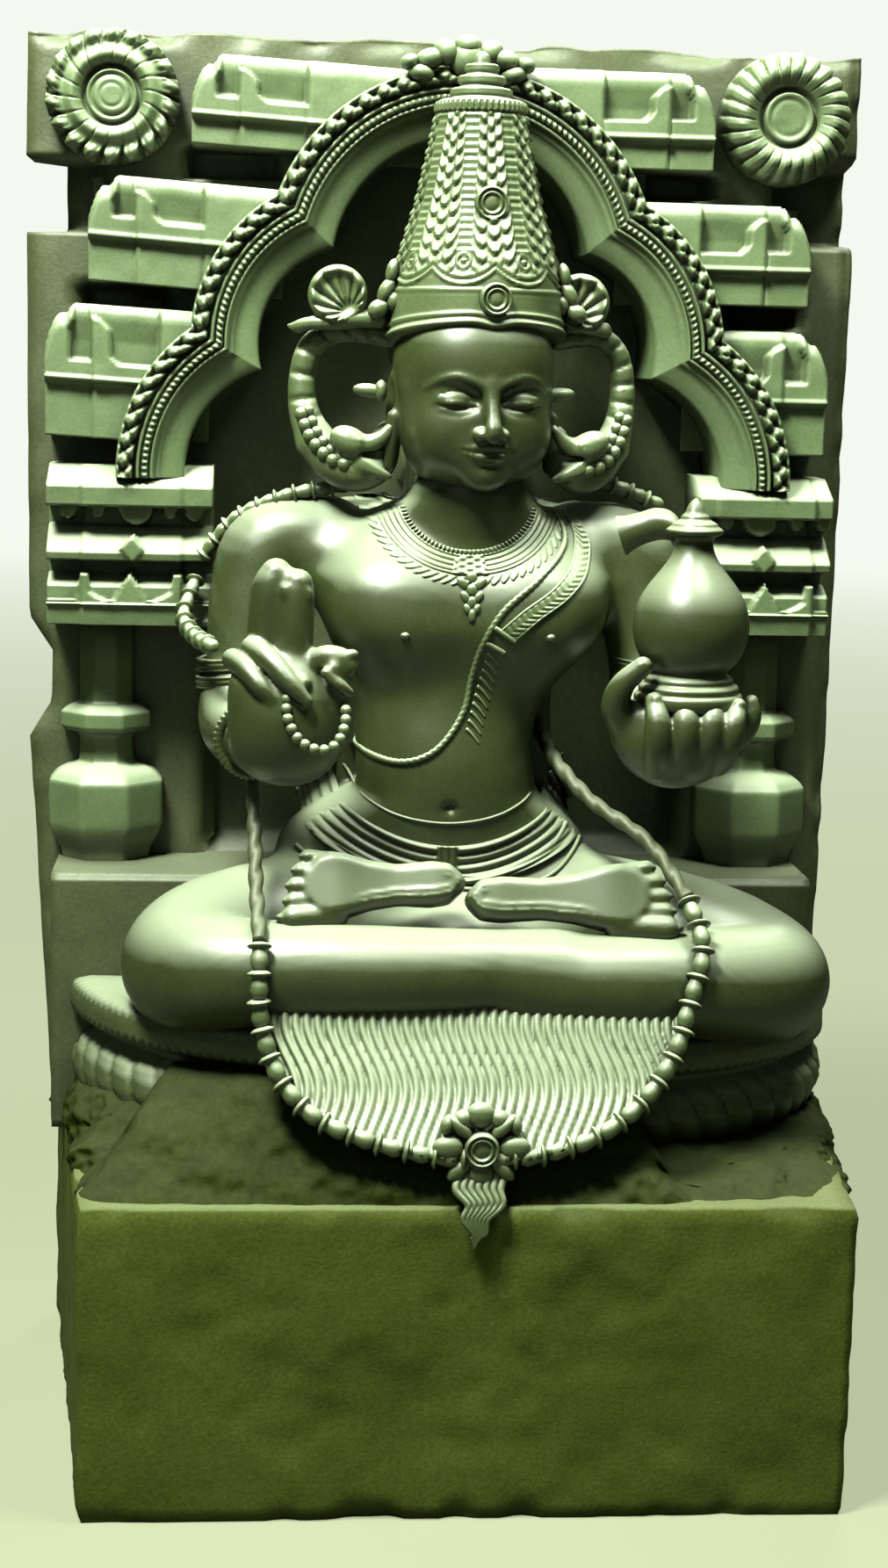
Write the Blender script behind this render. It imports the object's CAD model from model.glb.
"""A carved chlorite panel: Mangala seated under a five-lobed arch. Sizes are in millimetres."""
import math

import bpy
import numpy as np
from mathutils import Matrix


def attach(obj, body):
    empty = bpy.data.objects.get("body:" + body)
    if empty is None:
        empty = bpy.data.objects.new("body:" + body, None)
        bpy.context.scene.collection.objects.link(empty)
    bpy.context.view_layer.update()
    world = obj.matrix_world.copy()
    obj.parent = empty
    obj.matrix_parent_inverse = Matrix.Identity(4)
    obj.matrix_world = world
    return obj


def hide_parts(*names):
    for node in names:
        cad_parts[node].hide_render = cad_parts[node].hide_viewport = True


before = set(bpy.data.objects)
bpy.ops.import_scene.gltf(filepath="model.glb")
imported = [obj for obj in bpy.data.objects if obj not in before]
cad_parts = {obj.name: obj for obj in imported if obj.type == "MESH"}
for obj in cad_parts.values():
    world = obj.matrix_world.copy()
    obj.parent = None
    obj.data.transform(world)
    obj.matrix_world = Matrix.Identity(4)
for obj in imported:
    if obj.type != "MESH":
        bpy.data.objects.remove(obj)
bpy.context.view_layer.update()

# The camera stands a little left of the panel and above its middle, and looks slightly down.
# Its place was worked out from the edges of the block and of the mouldings.
MM = 0.001
PHOTO_HEIGHT_PX = 1785
FOCAL_PX = 2800.0
SENSOR_HEIGHT = 36.0
CAMERA_AT = (-147.0, -1903.0, 846.0)
PAN, TILT, ROLL = (math.radians(angle) for angle in (4.4, 9.7, 1.4))

ahead = np.array([math.sin(PAN) * math.cos(TILT), math.cos(PAN) * math.cos(TILT), -math.sin(TILT)])
level = np.array([math.cos(PAN), -math.sin(PAN), 0.0])
upright = np.cross(level, ahead)
camera_right = level * math.cos(ROLL) + upright * math.sin(ROLL)
camera_up = upright * math.cos(ROLL) - level * math.sin(ROLL)
camera_data = bpy.data.cameras.new("camera")
camera_data.sensor_width = SENSOR_HEIGHT
camera_data.lens = FOCAL_PX / PHOTO_HEIGHT_PX * SENSOR_HEIGHT
camera = bpy.data.objects.new("camera", camera_data)
bpy.context.scene.collection.objects.link(camera)
turn = Matrix([list(row) for row in np.array([camera_right, camera_up, -ahead]).T]).to_4x4()
camera.matrix_world = Matrix.Translation([c * MM for c in CAMERA_AT]) @ turn
bpy.context.scene.camera = camera


# The studio light: two soft lamps high in front, left and right, a weak fill from the front, and one
# lamp behind for the plain back. The floor and the air look pale to the camera, but send only a
# little light to the stone.
def linear(hex_colour):
    """An sRGB hex colour as linear red, green, blue and full alpha."""
    parts = [int(hex_colour[i:i + 2], 16) / 255 for i in (1, 3, 5)]
    return [c / 12.92 if c <= 0.04045 else ((c + 0.055) / 1.055) ** 2.4 for c in parts] + [1.0]


def add_node(tree, kind, inputs=None, **settings):
    """Adds one node with its settings; inputs gives each socket a value or the socket it reads."""
    node = tree.nodes.new(kind)
    for name, value in settings.items():
        setattr(node, name, value)
    for name, value in (inputs or {}).items():
        if isinstance(value, bpy.types.NodeSocket):
            tree.links.new(value, node.inputs[name])
        else:
            node.inputs[name].default_value = value
    return node


# Each lamp has a place and a width in metres, and a power in watts.
LAMPS = {"lamp_left": ((-0.6, -0.74, 2.15), 0.42, 127.0),
         "lamp_right": ((0.5, -0.42, 2.1), 0.45, 33.0),
         "lamp_front": ((-0.9, -2.6, 1.5), 1.6, 3.5),
         "lamp_back": ((1.1, 2.8, 3.1), 1.2, 55.0)}
LAMPS_AIM_AT = (0.0, 0.0, 0.62)
AIR_STRENGTH = 0.035
PALE_AIR = linear("#F4F9EF")
for lamp_name, (lamp_at, lamp_size, lamp_watts) in LAMPS.items():
    lamp_data = bpy.data.lights.new(lamp_name, "AREA")
    lamp_data.size = lamp_size
    lamp_data.energy = lamp_watts
    lamp_data.color = linear("#F7FFEE")[:3]
    lamp = bpy.data.objects.new(lamp_name, lamp_data)
    bpy.context.scene.collection.objects.link(lamp)
    lamp.location = lamp_at
    lamp.visible_camera = False
    aim = np.array(LAMPS_AIM_AT) - np.array(lamp_at)
    side = np.cross(aim, (0, 0, 1.0))
    axes = [axis / np.linalg.norm(axis) for axis in (side, np.cross(side, aim), -aim)]
    lamp.rotation_euler = Matrix([list(row) for row in np.array(axes).T]).to_euler()

world = bpy.data.worlds.new("studio_air")
bpy.context.scene.world = world
world.use_nodes = True
dim_air = world.node_tree.nodes["Background"]
dim_air.inputs["Color"].default_value = linear("#E9F4DC")
dim_air.inputs["Strength"].default_value = AIR_STRENGTH
pale_air = add_node(world.node_tree, "ShaderNodeBackground", {"Color": PALE_AIR})
seen = add_node(world.node_tree, "ShaderNodeLightPath").outputs["Is Camera Ray"]
air = add_node(world.node_tree, "ShaderNodeMixShader",
               {0: seen, 1: dim_air.outputs[0], 2: pale_air.outputs[0]})
world.node_tree.links.new(air.outputs[0], world.node_tree.nodes["World Output"].inputs["Surface"])
bpy.context.scene.view_settings.view_transform = "Standard"

# The floor glows more, and whiter, with its distance from the panel in metres.
FLOOR_HALF = 12.0
GLOW_FROM, GLOW_TO = 0.8, 9.0
GLOW_NEAR, GLOW_FAR = 0.42, 1.0
floor_mesh = bpy.data.meshes.new("floor")
floor_mesh.from_pydata([(-FLOOR_HALF, -FLOOR_HALF, 0), (FLOOR_HALF, -FLOOR_HALF, 0),
                        (FLOOR_HALF, FLOOR_HALF, 0), (-FLOOR_HALF, FLOOR_HALF, 0)], [], [(0, 1, 2, 3)])
floor = bpy.data.objects.new("floor", floor_mesh)
bpy.context.scene.collection.objects.link(floor)
paint = bpy.data.materials.new("pale_floor_paint")
paint.use_nodes = True
paint_shader = paint.node_tree.nodes["Principled BSDF"]
paint_shader.inputs["Roughness"].default_value = 0.8
paint_shader.inputs["Base Color"].default_value = linear("#5C624C")
tree = paint.node_tree
place = add_node(tree, "ShaderNodeTexCoord").outputs["Object"]
from_panel = add_node(tree, "ShaderNodeVectorMath", {0: place}, operation="LENGTH").outputs["Value"]
far = add_node(tree, "ShaderNodeMapRange",
               {"Value": from_panel, "From Min": GLOW_FROM, "From Max": GLOW_TO}).outputs[0]
brighter = add_node(tree, "ShaderNodeMapRange", {"Value": far, "To Min": GLOW_NEAR, "To Max": GLOW_FAR})
tint = add_node(tree, "ShaderNodeMix", {"Factor": far, "A": linear("#F4FCD2"), "B": PALE_AIR},
                data_type="RGBA")
glow = add_node(tree, "ShaderNodeEmission", {"Color": tint.outputs[2], "Strength": brighter.outputs[0]})
seen = add_node(tree, "ShaderNodeLightPath").outputs["Is Camera Ray"]
pale = add_node(tree, "ShaderNodeAddShader", {0: paint_shader.outputs[0], 1: glow.outputs[0]})
shown = add_node(tree, "ShaderNodeMixShader", {0: seen, 1: paint_shader.outputs[0], 2: pale.outputs[0]})
tree.links.new(shown.outputs[0], tree.nodes["Material Output"].inputs["Surface"])
floor_mesh.materials.append(paint)


# The stone. All of it is chlorite schist, a soft grey-green stone. The figure was rubbed smooth and
# has a low sheen; its ornaments and the wall carving hold more dust and keep a dull grain; the block
# was only dressed with a point, and the rock above it was left broken. The grain is drawn two to
# five millimetres wide, coarser than the real one, so that it shows.
CLOUD_MM, SHELTER_MM, GRAIN_DEEP_MM = 60.0, 30.0, 0.4
DIRT_BELOW, DUST_ABOVE, GRIME_IN_HOLLOWS = linear("#2A2414"), linear("#C3D0B2"), linear("#191B0A")
DIRT_SHARE, GRIME_SHARE = 0.75, 0.85
STONE_IOR, SCATTERING_IOR = 1.55, 1.15


def chlorite(name, pale, deep, roughness, grain_mm, bump, dust):
    """Chlorite: two greys mixed by cloudy noise, brown dirt where the face looks down, pale dust
    where it looks up, dark grime in the hollows, and a fine grain in the roughness and the bump."""
    material = bpy.data.materials.new(name)
    material.use_nodes = True
    tree = material.node_tree
    shader = tree.nodes["Principled BSDF"]
    where = add_node(tree, "ShaderNodeTexCoord").outputs["Object"]
    cloud = add_node(tree, "ShaderNodeTexNoise", {"Vector": where, "Scale": 1 / (CLOUD_MM * MM),
                                                  "Detail": 6.0, "Roughness": 0.62}).outputs["Fac"]
    speck = add_node(tree, "ShaderNodeTexNoise", {"Vector": where, "Scale": 1 / (grain_mm * MM),
                                                  "Detail": 3.0, "Roughness": 0.7}).outputs["Fac"]
    body = add_node(tree, "ShaderNodeMix", {"Factor": cloud, "A": linear(deep), "B": linear(pale)},
                    data_type="RGBA")
    colour = add_node(tree, "ShaderNodeMix", {"Factor": speck, "A": body.outputs[2], "B": linear(pale)},
                      data_type="RGBA", blend_type="OVERLAY").outputs[2]
    normal = add_node(tree, "ShaderNodeNewGeometry").outputs["Normal"]
    facing = add_node(tree, "ShaderNodeSeparateXYZ", {0: normal}).outputs["Z"]
    open_sky = add_node(tree, "ShaderNodeAmbientOcclusion", {"Distance": SHELTER_MM * MM},
                        samples=6).outputs["AO"]
    for cause, low, high, share_low, share_high, coat in (
            (facing, -0.05, -0.9, 0.0, DIRT_SHARE, DIRT_BELOW),
            (facing, 0.25, 1.0, 0.0, dust, DUST_ABOVE),
            (open_sky, 0.15, 0.75, GRIME_SHARE, 0.0, GRIME_IN_HOLLOWS)):
        share = add_node(tree, "ShaderNodeMapRange", {
            "Value": cause, "From Min": low, "From Max": high, "To Min": share_low,
            "To Max": share_high}).outputs[0]
        colour = add_node(tree, "ShaderNodeMix", {"Factor": share, "A": colour, "B": coat},
                          data_type="RGBA").outputs[2]
    tree.links.new(colour, shader.inputs["Base Color"])
    shine = add_node(tree, "ShaderNodeMapRange", {"Value": speck, "To Min": roughness - 0.07,
                                                  "To Max": roughness + 0.1})
    tree.links.new(shine.outputs[0], shader.inputs["Roughness"])
    shader.inputs["IOR"].default_value = STONE_IOR
    relief = add_node(tree, "ShaderNodeBump", {"Height": speck, "Strength": bump,
                                               "Distance": GRAIN_DEEP_MM * MM})
    tree.links.new(relief.outputs["Normal"], shader.inputs["Normal"])
    return material


polished = chlorite("rubbed_chlorite", "#4A552F", "#272F13", 0.38, 2.2, 0.14, 0.5)
crisp = chlorite("crisp_chlorite", "#697652", "#3E492C", 0.4, 2.2, 0.22, 0.65)
carved = chlorite("carved_chlorite", "#758562", "#4A563A", 0.5, 2.6, 0.45, 0.6)
dressed = chlorite("point_dressed_chlorite", "#676F36", "#464E1F", 0.62, 3.0, 1.0, 0.12)
worn = chlorite("worn_chlorite", "#5C6842", "#353D20", 0.5, 3.0, 0.6, 0.4)
broken = chlorite("broken_chlorite", "#3A4410", "#1E2404", 0.85, 5.0, 1.2, 0.03)
weathered = chlorite("weathered_chlorite", "#58613F", "#363A1F", 0.55, 4.0, 0.9, 0.15)
# Stone that was never rubbed scatters light from its broken grains and has next to no sheen.
for unrubbed in (dressed, broken):
    unrubbed.node_tree.nodes["Principled BSDF"].inputs["IOR"].default_value = SCATTERING_IOR


# The block at the foot is rough dressed stone: flat faces with shallow hollows, edges knocked off in
# places. Its sides spread towards the back.
def grain(points, size, seed):
    """Random values from -1 to 1 that change smoothly: numbers drawn for the corners of a cubic
    lattice of the given size, blended between the eight corners round each point."""
    cell = points / size + 31.7 * seed
    low = np.floor(cell).astype(np.int64)
    part = cell - low
    part = part * part * (3 - 2 * part)
    total = np.zeros(points.shape[:-1])
    for corner in range(8):
        step = np.array([(corner >> axis) & 1 for axis in range(3)])
        at = low + step
        mix = at @ np.array([374761393, 668265263, 2147483647]) + seed * 974634777
        mix = (mix ^ (mix >> 13)) * 1274126177 & 0xFFFFFFFF
        mix = (mix ^ (mix >> 16)) & 0xFFFF
        total += (mix / 32767.5 - 1) * np.prod(np.where(step, part, 1 - part), axis=-1)
    return total


def skin(rings):
    """A closed skin over rings of points (rows, around, 3): quads between neighbouring rings, and a
    fan from each end ring to its middle. Returns the points, the quads and the triangles."""
    rows, around = rings.shape[:2]
    index = np.arange(rows * around).reshape(rows, around)
    after = np.roll(index, -1, axis=1)
    quads = np.stack([index[:-1], after[:-1], after[1:], index[1:]], axis=-1).reshape(-1, 4)
    ends = np.stack([rings[0].mean(axis=0), rings[-1].mean(axis=0)])
    first, last = rows * around, rows * around + 1
    caps = np.concatenate([np.stack([after[0], index[0], np.full(around, first)], axis=-1),
                           np.stack([index[-1], after[-1], np.full(around, last)], axis=-1)])
    return np.concatenate([rings.reshape(-1, 3), ends]), quads, caps


LID_SHARES = np.array([0.985, 0.9, 0.7, 0.45, 0.2, 0.02])[:, None]


def lidded(rings, back):
    """The rings of an upright block with more rings under and over them, level with the first and
    the last one, that draw in towards the line y = back."""
    lids = [np.repeat(rings[end:end + 1], len(LID_SHARES), axis=0) for end in (0, len(rings) - 1)]
    for lid, shares in zip(lids, (LID_SHARES, LID_SHARES[::-1])):
        lid[..., 1] = back + (lid[..., 1] - back) * (1 - shares)
    return np.concatenate([lids[0], rings, lids[1]])


def merge(parts):
    """Several (points, quads, triangles) shapes as one, with their indices moved on."""
    starts = np.cumsum([0] + [len(p[0]) for p in parts[:-1]])
    return (np.concatenate([p[0] for p in parts]),
            np.concatenate([p[1] + s for p, s in zip(parts, starts)]),
            np.concatenate([p[2] + s for p, s in zip(parts, starts)]))


def outward(shape):
    """The same shape with its faces turned out: its signed volume, summed over the triangles from
    the origin, is made positive by reversing every face."""
    points, quads, caps = shape
    halves = np.concatenate([quads[:, [0, 1, 2]], quads[:, [0, 2, 3]], caps])
    a, b, c = (points[halves[:, k]] for k in range(3))
    if np.einsum("ij,ij->i", a, np.cross(b, c)).sum() < 0:
        return points, quads[:, ::-1], caps[:, ::-1]
    return shape


def make_piece(name, shape, material):
    """One piece of the stone from points in millimetres: it rides on the root body and stands, with
    the others, for the solid panel."""
    points, quads, caps = outward(shape)
    mesh = bpy.data.meshes.new(name)
    corners = np.concatenate([quads.ravel(), caps.ravel()]).astype(np.int32)
    sizes = np.concatenate([np.full(len(quads), 4), np.full(len(caps), 3)])
    starts = (np.cumsum(sizes) - sizes).astype(np.int32)
    mesh.vertices.add(len(points))
    mesh.vertices.foreach_set("co", (points * MM).astype(np.float32).ravel())
    mesh.loops.add(len(corners))
    mesh.loops.foreach_set("vertex_index", corners)
    mesh.polygons.add(len(sizes))
    mesh.polygons.foreach_set("loop_start", starts)
    mesh.polygons.foreach_set("use_smooth", np.full(len(sizes), True))
    mesh.update(calc_edges=True)
    mesh.validate()
    mesh.materials.append(material)
    piece = bpy.data.objects.new(name, mesh)
    bpy.context.scene.collection.objects.link(piece)
    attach(piece, "root")
    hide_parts("mangala_relief")


def smooth_step(value, low, high):
    """0 below low and 1 above high, with an S-shaped rise between; low may lie above high."""
    t = np.clip((value - low) / (high - low), 0, 1)
    return t * t * (3 - 2 * t)


BLOCK_FRONT, BLOCK_TOP = -203.0, 241.0
BLOCK_LEFT, BLOCK_RIGHT = -274.0, 299.0
FOOT_LEFT, FOOT_RIGHT = -322.0, 330.0
SLAB_FACE, SLAB_BACK, SLAB_TOP = 132.0, 215.0, 1100.0
BLOCK_MIDDLE, BLOCK_STEP = np.array([4.0, 20.0]), 6.5


def points_of(x, y, z):
    """Points from three arrays of coordinates, spread over their common shape."""
    return np.stack(np.broadcast_arrays(x, y, z), axis=-1)


def unit(vectors):
    """The same vectors, each divided by its length."""
    return vectors / np.linalg.norm(vectors, axis=-1, keepdims=True)


def block_outline(step):
    """The block's plan, anticlockwise from the back left corner, with points about step apart."""
    corners = np.array([[FOOT_LEFT, SLAB_BACK - 4], [BLOCK_LEFT, BLOCK_FRONT],
                        [BLOCK_RIGHT, BLOCK_FRONT], [FOOT_RIGHT, SLAB_BACK - 4]])
    runs = []
    for start, end in zip(corners, np.roll(corners, -1, axis=0)):
        count = int(np.linalg.norm(end - start) / step)
        runs.append(start + (end - start) * (np.arange(count) / count)[:, None])
    return np.concatenate(runs)


plan = block_outline(BLOCK_STEP)
levels = np.concatenate([[0, 0.6], np.arange(6, BLOCK_TOP - 5, BLOCK_STEP), [BLOCK_TOP - 2, BLOCK_TOP]])
rings = [np.column_stack([plan, np.full(len(plan), z)]) for z in levels]
rings += [np.column_stack([BLOCK_MIDDLE + (plan - BLOCK_MIDDLE) * (1 - share),
                           np.full(len(plan), BLOCK_TOP)]) for share in np.linspace(0, 1, 16)[1:-1]]
rings = np.array(rings)
away = unit(rings[..., :2] - BLOCK_MIDDLE)
hollows = 2.4 * grain(rings, 70, 1) + 1.3 * grain(rings, 22, 2) + 0.7 * grain(rings, 8, 3) - 0.4
on_side = (np.arange(len(rings)) < len(levels))[:, None]
edge = np.minimum(np.abs(rings[..., 2] - BLOCK_TOP), np.abs(rings[..., 2]))
chips = (7.0 * np.clip(grain(rings, 26, 4) - 0.15, 0, 1) * smooth_step(edge, 22, 0)
         + 3.0 * smooth_step(edge, 5, 0))
push = np.where(on_side, np.minimum(hollows, 0.6) - chips - 1.2, 0)
rings[..., :2] += away * push[..., None]
lift = np.where(on_side, 0, 1.4 * grain(rings, 30, 5) + 0.6 * grain(rings, 9, 6) - 1.8)
rings[..., 2] += lift * smooth_step(np.arange(len(rings)), len(levels) - 1, len(levels) + 2)[:, None]
make_piece("foot_block", skin(rings), dressed)


# The slab behind everything. Its left edge has lost a bite and both edges have a clamp notch; the
# top is a broken edge, and the niche is cut back behind the figure.
ARCH_X = 8.0
NICHE_LEFT, NICHE_RIGHT, NICHE_FLOOR, NICHE_BACK = -190.0, 206.0, 436.0, 178.0
NICHE_WIDER = 9.0
SLOT_DEEP, RECESS_DEEP = 42.0, 46.0
LEFT_EDGE = [(0, -320), (239, -320), (450, -331), (534, -336), (562, -318), (605, -317), (634, -336),
             (943, -337), (944.5, -308), (1000.5, -308), (1002, -337), (1098, -335)]
RIGHT_EDGE = [(0, 328), (240, 330), (450, 334), (1000, 337), (1098, 336)]
LEFT_MARGIN, RIGHT_MARGIN = -281.0, 318.0
SLOTS = [(-209, -136, 988, 1011, 0.0), (-291, -222, 884, 905, -0.12), (167, 214, 984, 1003, -0.05),
         (232, 292, 880, 900, 0.08)]

fine_z = np.concatenate([np.arange(200, 860, 9.0), np.arange(862, 941, 5.5), np.arange(942, 1004, 3.0),
                         np.arange(1006, SLAB_TOP - 3, 4.5), [SLAB_TOP - 2, SLAB_TOP]])
left_edge = np.interp(fine_z, *np.array(LEFT_EDGE).T)
right_edge = np.interp(fine_z, *np.array(RIGHT_EDGE).T)
columns = np.concatenate([np.arange(LEFT_MARGIN, RIGHT_MARGIN, 7.5), [RIGHT_MARGIN]])
share = np.linspace(0, 1, 7)[:-1]
to_left, to_right = (LEFT_MARGIN - left_edge)[:, None], (right_edge - RIGHT_MARGIN)[:, None]
front_x = np.concatenate([left_edge[:, None] + to_left * share,
                          np.broadcast_to(columns, (len(fine_z), len(columns))),
                          RIGHT_MARGIN + to_right * (share + share[1])], axis=1)
face = points_of(front_x, SLAB_FACE, fine_z[:, None])
x, z = face[..., 0], face[..., 2]


def band(value, low, high, soft=1.4):
    """1 between low and high and 0 outside, with soft edges."""
    return (smooth_step(value, low - soft / 2, low + soft / 2)
            * smooth_step(value, high + soft / 2, high - soft / 2))


def lobes(x, z, wider):
    """How far a point lies inside the five-lobed opening: the largest of radius minus distance over
    the five lobe circles, or the depth inside the straight part below the springing."""
    inside = np.full(np.shape(x), -1e3)
    for circle_x, circle_z, radius in LOBE_CIRCLES:
        inside = np.maximum(inside, radius + wider - np.hypot(x - circle_x, z - circle_z))
    straight = np.minimum(np.minimum(x - NICHE_LEFT, NICHE_RIGHT - x),
                          np.minimum(z - NICHE_FLOOR, ARCH_FOOT - z))
    return np.maximum(inside, straight)


ARCH_FOOT, ARCH_FOOT_HALF, ARCH_TOP = 751.0, 236.0, 1040.0
ARCH_CUSPS = [(178.0, 850.0), (117.5, 949.0)]
LOBE_RISES = [17.0, 19.0]
ARCH_OPENING = -20.0


def circle_over(start, end, rise):
    """The circle through two points whose arc rises by rise over the chord, to its left."""
    start, end = np.array(start), np.array(end)
    half = np.linalg.norm(end - start) / 2
    radius = (half * half + rise * rise) / (2 * rise)
    across = np.array([end[1] - start[1], start[0] - end[0]]) / (2 * half)
    centre = (start + end) / 2 + across * (radius - rise)
    return centre[0], centre[1], radius


low_cusp, high_cusp = ARCH_CUSPS
left_lobes = [circle_over((-ARCH_FOOT_HALF, ARCH_FOOT), (-low_cusp[0], low_cusp[1]), LOBE_RISES[0]),
              circle_over((-low_cusp[0], low_cusp[1]), (-high_cusp[0], high_cusp[1]), LOBE_RISES[1])]
crest_lobe = circle_over((-high_cusp[0], high_cusp[1]), high_cusp, ARCH_TOP - high_cusp[1])
half_circles = left_lobes + [crest_lobe] + [(-cx, cz, r) for cx, cz, r in left_lobes[::-1]]
LOBE_CIRCLES = [(cx + ARCH_X, cz, r) for cx, cz, r in half_circles]

niche = smooth_step(lobes(x, z, ARCH_OPENING + NICHE_WIDER), -2.5, 2.5) * (z > NICHE_FLOOR)
face[..., 1] += niche * (NICHE_BACK - SLAB_FACE)
recess_left = smooth_step(x, -279, -283) * smooth_step(z, 943, 946) * smooth_step(z, 1002, 999)
recess_right = smooth_step(x, 271, 275) * smooth_step(z, 947, 950) * smooth_step(z, 1016, 1013)
face[..., 1] += RECESS_DEEP * np.maximum(recess_left, recess_right) * (1 - niche)
for slot_left, slot_right, slot_low, slot_high, slope in SLOTS:
    along = z - slope * (x - slot_left)
    slot = band(x, slot_left, slot_right, 6) * band(along, slot_low, slot_high, 5) > 0.3
    face[..., 1] += SLOT_DEEP * slot * (1 - niche)
face[..., 1] += 1.3 * grain(face, 34, 7) + 0.6 * grain(face, 11, 8)
from_edge = np.minimum(x - left_edge[:, None], right_edge[:, None] - x)
chipping = np.clip(grain(face, 20, 9) + 0.2, 0, 1)
face[..., 1] += ((5 + 7 * chipping) * smooth_step(from_edge, 13, 0)
                 + 14 * chipping * smooth_step(z, SLAB_TOP - 16, SLAB_TOP))
face[..., 2] -= 5 * smooth_step(z, SLAB_TOP - 9, SLAB_TOP) * np.clip(grain(face, 28, 10) + 0.4, 0, 1)
back_of_slab = face[:, ::-1].copy()
back_of_slab[..., 1] = SLAB_BACK - 1.5 + 1.2 * grain(back_of_slab, 40, 11)
rings = lidded(np.concatenate([face, back_of_slab], axis=1), SLAB_BACK - 2)
make_piece("back_slab", skin(rings), weathered)


# The roof tiers step in on both sides of the arch. Each is a rolled eave over a plain fascia; sunk
# panels and a quarter-round tile are cut into the roll near its outer end.
def bell(value, at, wide):
    """A bell curve: e to the power of minus the square of the distance from at, counted in wides."""
    return np.exp(-((value - at) / wide) ** 2)


def relief_block(xs, zs, depth, back, slope=0.0):
    """A block whose front is the surface y = depth(x, z) over a grid, closed by its four sides and
    a flat back; slope makes it drop along x."""
    x, z = np.meshgrid(xs, zs)
    front = points_of(x, depth(x, z), z)
    ends = [points_of(end, back, zs)[:, None] for end in (xs[-1], xs[0])]
    rings = np.concatenate([front, *ends], axis=1)
    rings[..., 2] -= slope * (rings[..., 0] - xs[0])
    return skin(lidded(rings, back))


TIER_FRONT, TIER_BACK, TIER_STEP = 75.0, 140.0, 1.8
EAVE_ROLL, SUNK, FASCIA_SUNK, JOINT_DEEP = 15.0, 11.0, 5.0, 1.6
PANELS_FROM, PANELS_SPLIT, PANELS_TO = 19.0, 36.0, 90.0
TIERS = [(-204, -18, 1082, 50, 71, 0.055, 1), (-284, -130, 988, 50, 84, 0.065, 1),
         (-318, -190, 889, 62, 106, 0.05, 1), (48, 209, 1077, 54, 76, 0.0, -1),
         (140, 290, 977, 54, 80, 0.0, -1), (200, 309, 878, 58, 99, 0.0, -1)]


def tier_front(start, end, top, eave, slope, side):
    """The depth of one tier: a quarter-round roll at the top, sunk panels with level floors, a
    raised tile with one rounded corner, a fillet, and a fascia set back below it."""
    outer = start if side > 0 else end

    def depth(x, z):
        along = (x - outer) * side
        below = top - z
        outline = np.where(along < 17, 9 + 24 * np.clip(1 - along / 15, 0, 1) ** 2.4,
                           9 * np.clip((25 - along) / 8, 0, 1) ** 2)
        under = below - outline
        roll = EAVE_ROLL - np.sqrt(
            np.clip(EAVE_ROLL ** 2 - np.clip(EAVE_ROLL - under, 0, EAVE_ROLL) ** 2, 0, None))
        low_shoulder = 60.0 * (under < 0)
        panel_near = (band(along, PANELS_FROM + 4 * smooth_step(below, 24, 12), PANELS_SPLIT)
                      * smooth_step(below, eave - 16.2, eave - 17.4))
        panel_far = (band(along, PANELS_SPLIT, PANELS_TO)
                     * smooth_step(below, eave - 14.2, eave - 15.4))
        tile_edge = (PANELS_SPLIT + 1 + 14 * np.sqrt(np.clip((below - 12) / 9, 0, 1))
                     + 7 * np.clip((below - eave + 24) / 9, 0, 1) ** 2)
        tile = smooth_step(tile_edge - along, -0.7, 0.7) * smooth_step(below, 11.4, 12.6)
        panels = np.maximum(panel_near, panel_far * (1 - tile))
        sunk = (SUNK - 0.2 * np.clip(30 - below, 0, 30)) * panels
        fascia = (FASCIA_SUNK * smooth_step(below, eave, eave + 1.5)
                  - 2.5 * band(below, eave - 3.5, eave))
        joint = sum(JOINT_DEEP * bell(along, at, 1.3) for at in (PANELS_SPLIT + 1, PANELS_TO))
        joint = joint * smooth_step(below, 14, 18)
        step = 2.5 * smooth_step(along, PANELS_SPLIT + 1.5, PANELS_SPLIT + 0.5)
        y = TIER_FRONT + roll + low_shoulder + sunk + fascia + joint + step
        y = np.where(lobes(x, z - slope * (x - start), 10) > 0, TIER_BACK - 1, y)
        return np.minimum(y + 0.5 * grain(points_of(x, y, z), 14, 21), TIER_BACK - 1)
    return depth


tiers = []
for start, end, top, eave, height, slope, side in TIERS:
    tiers.append(relief_block(np.arange(start, end + 0.1, TIER_STEP),
                              np.arange(top - height, top + 0.1, TIER_STEP),
                              tier_front(start, end, top, eave, slope, side), TIER_BACK, slope))
make_piece("roof_tiers_left", merge(tiers[:3]), carved)
make_piece("roof_tiers_right", merge(tiers[3:]), carved)


# The arch: one moulding carried round five lobes. From outside in it has a leafy roll, a plain roll,
# a reeded string, a fine ridge, and a plain splay that falls back into the niche.
def run_along(path):
    """How far along a path each of its points lies: the sum of the steps before it."""
    return np.concatenate([[0], np.cumsum(np.linalg.norm(np.diff(path, axis=0), axis=1))])


def crossing(first, second, offset, near):
    """Where two lobe circles, both grown by offset, cross: the crossing point nearest to near."""
    (ax, az, ar), (bx, bz, br) = first, second
    ar, br = ar + offset, br + offset
    gap = math.hypot(bx - ax, bz - az)
    run = (gap * gap + ar * ar - br * br) / (2 * gap)
    rise = math.sqrt(max(ar * ar - run * run, 0))
    ex, ez = (bx - ax) / gap, (bz - az) / gap
    both = [(ax + run * ex - s * rise * ez, az + run * ez + s * rise * ex) for s in (1, -1)]
    return min(both, key=lambda p: math.hypot(p[0] - near[0], p[1] - near[1]))


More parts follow.
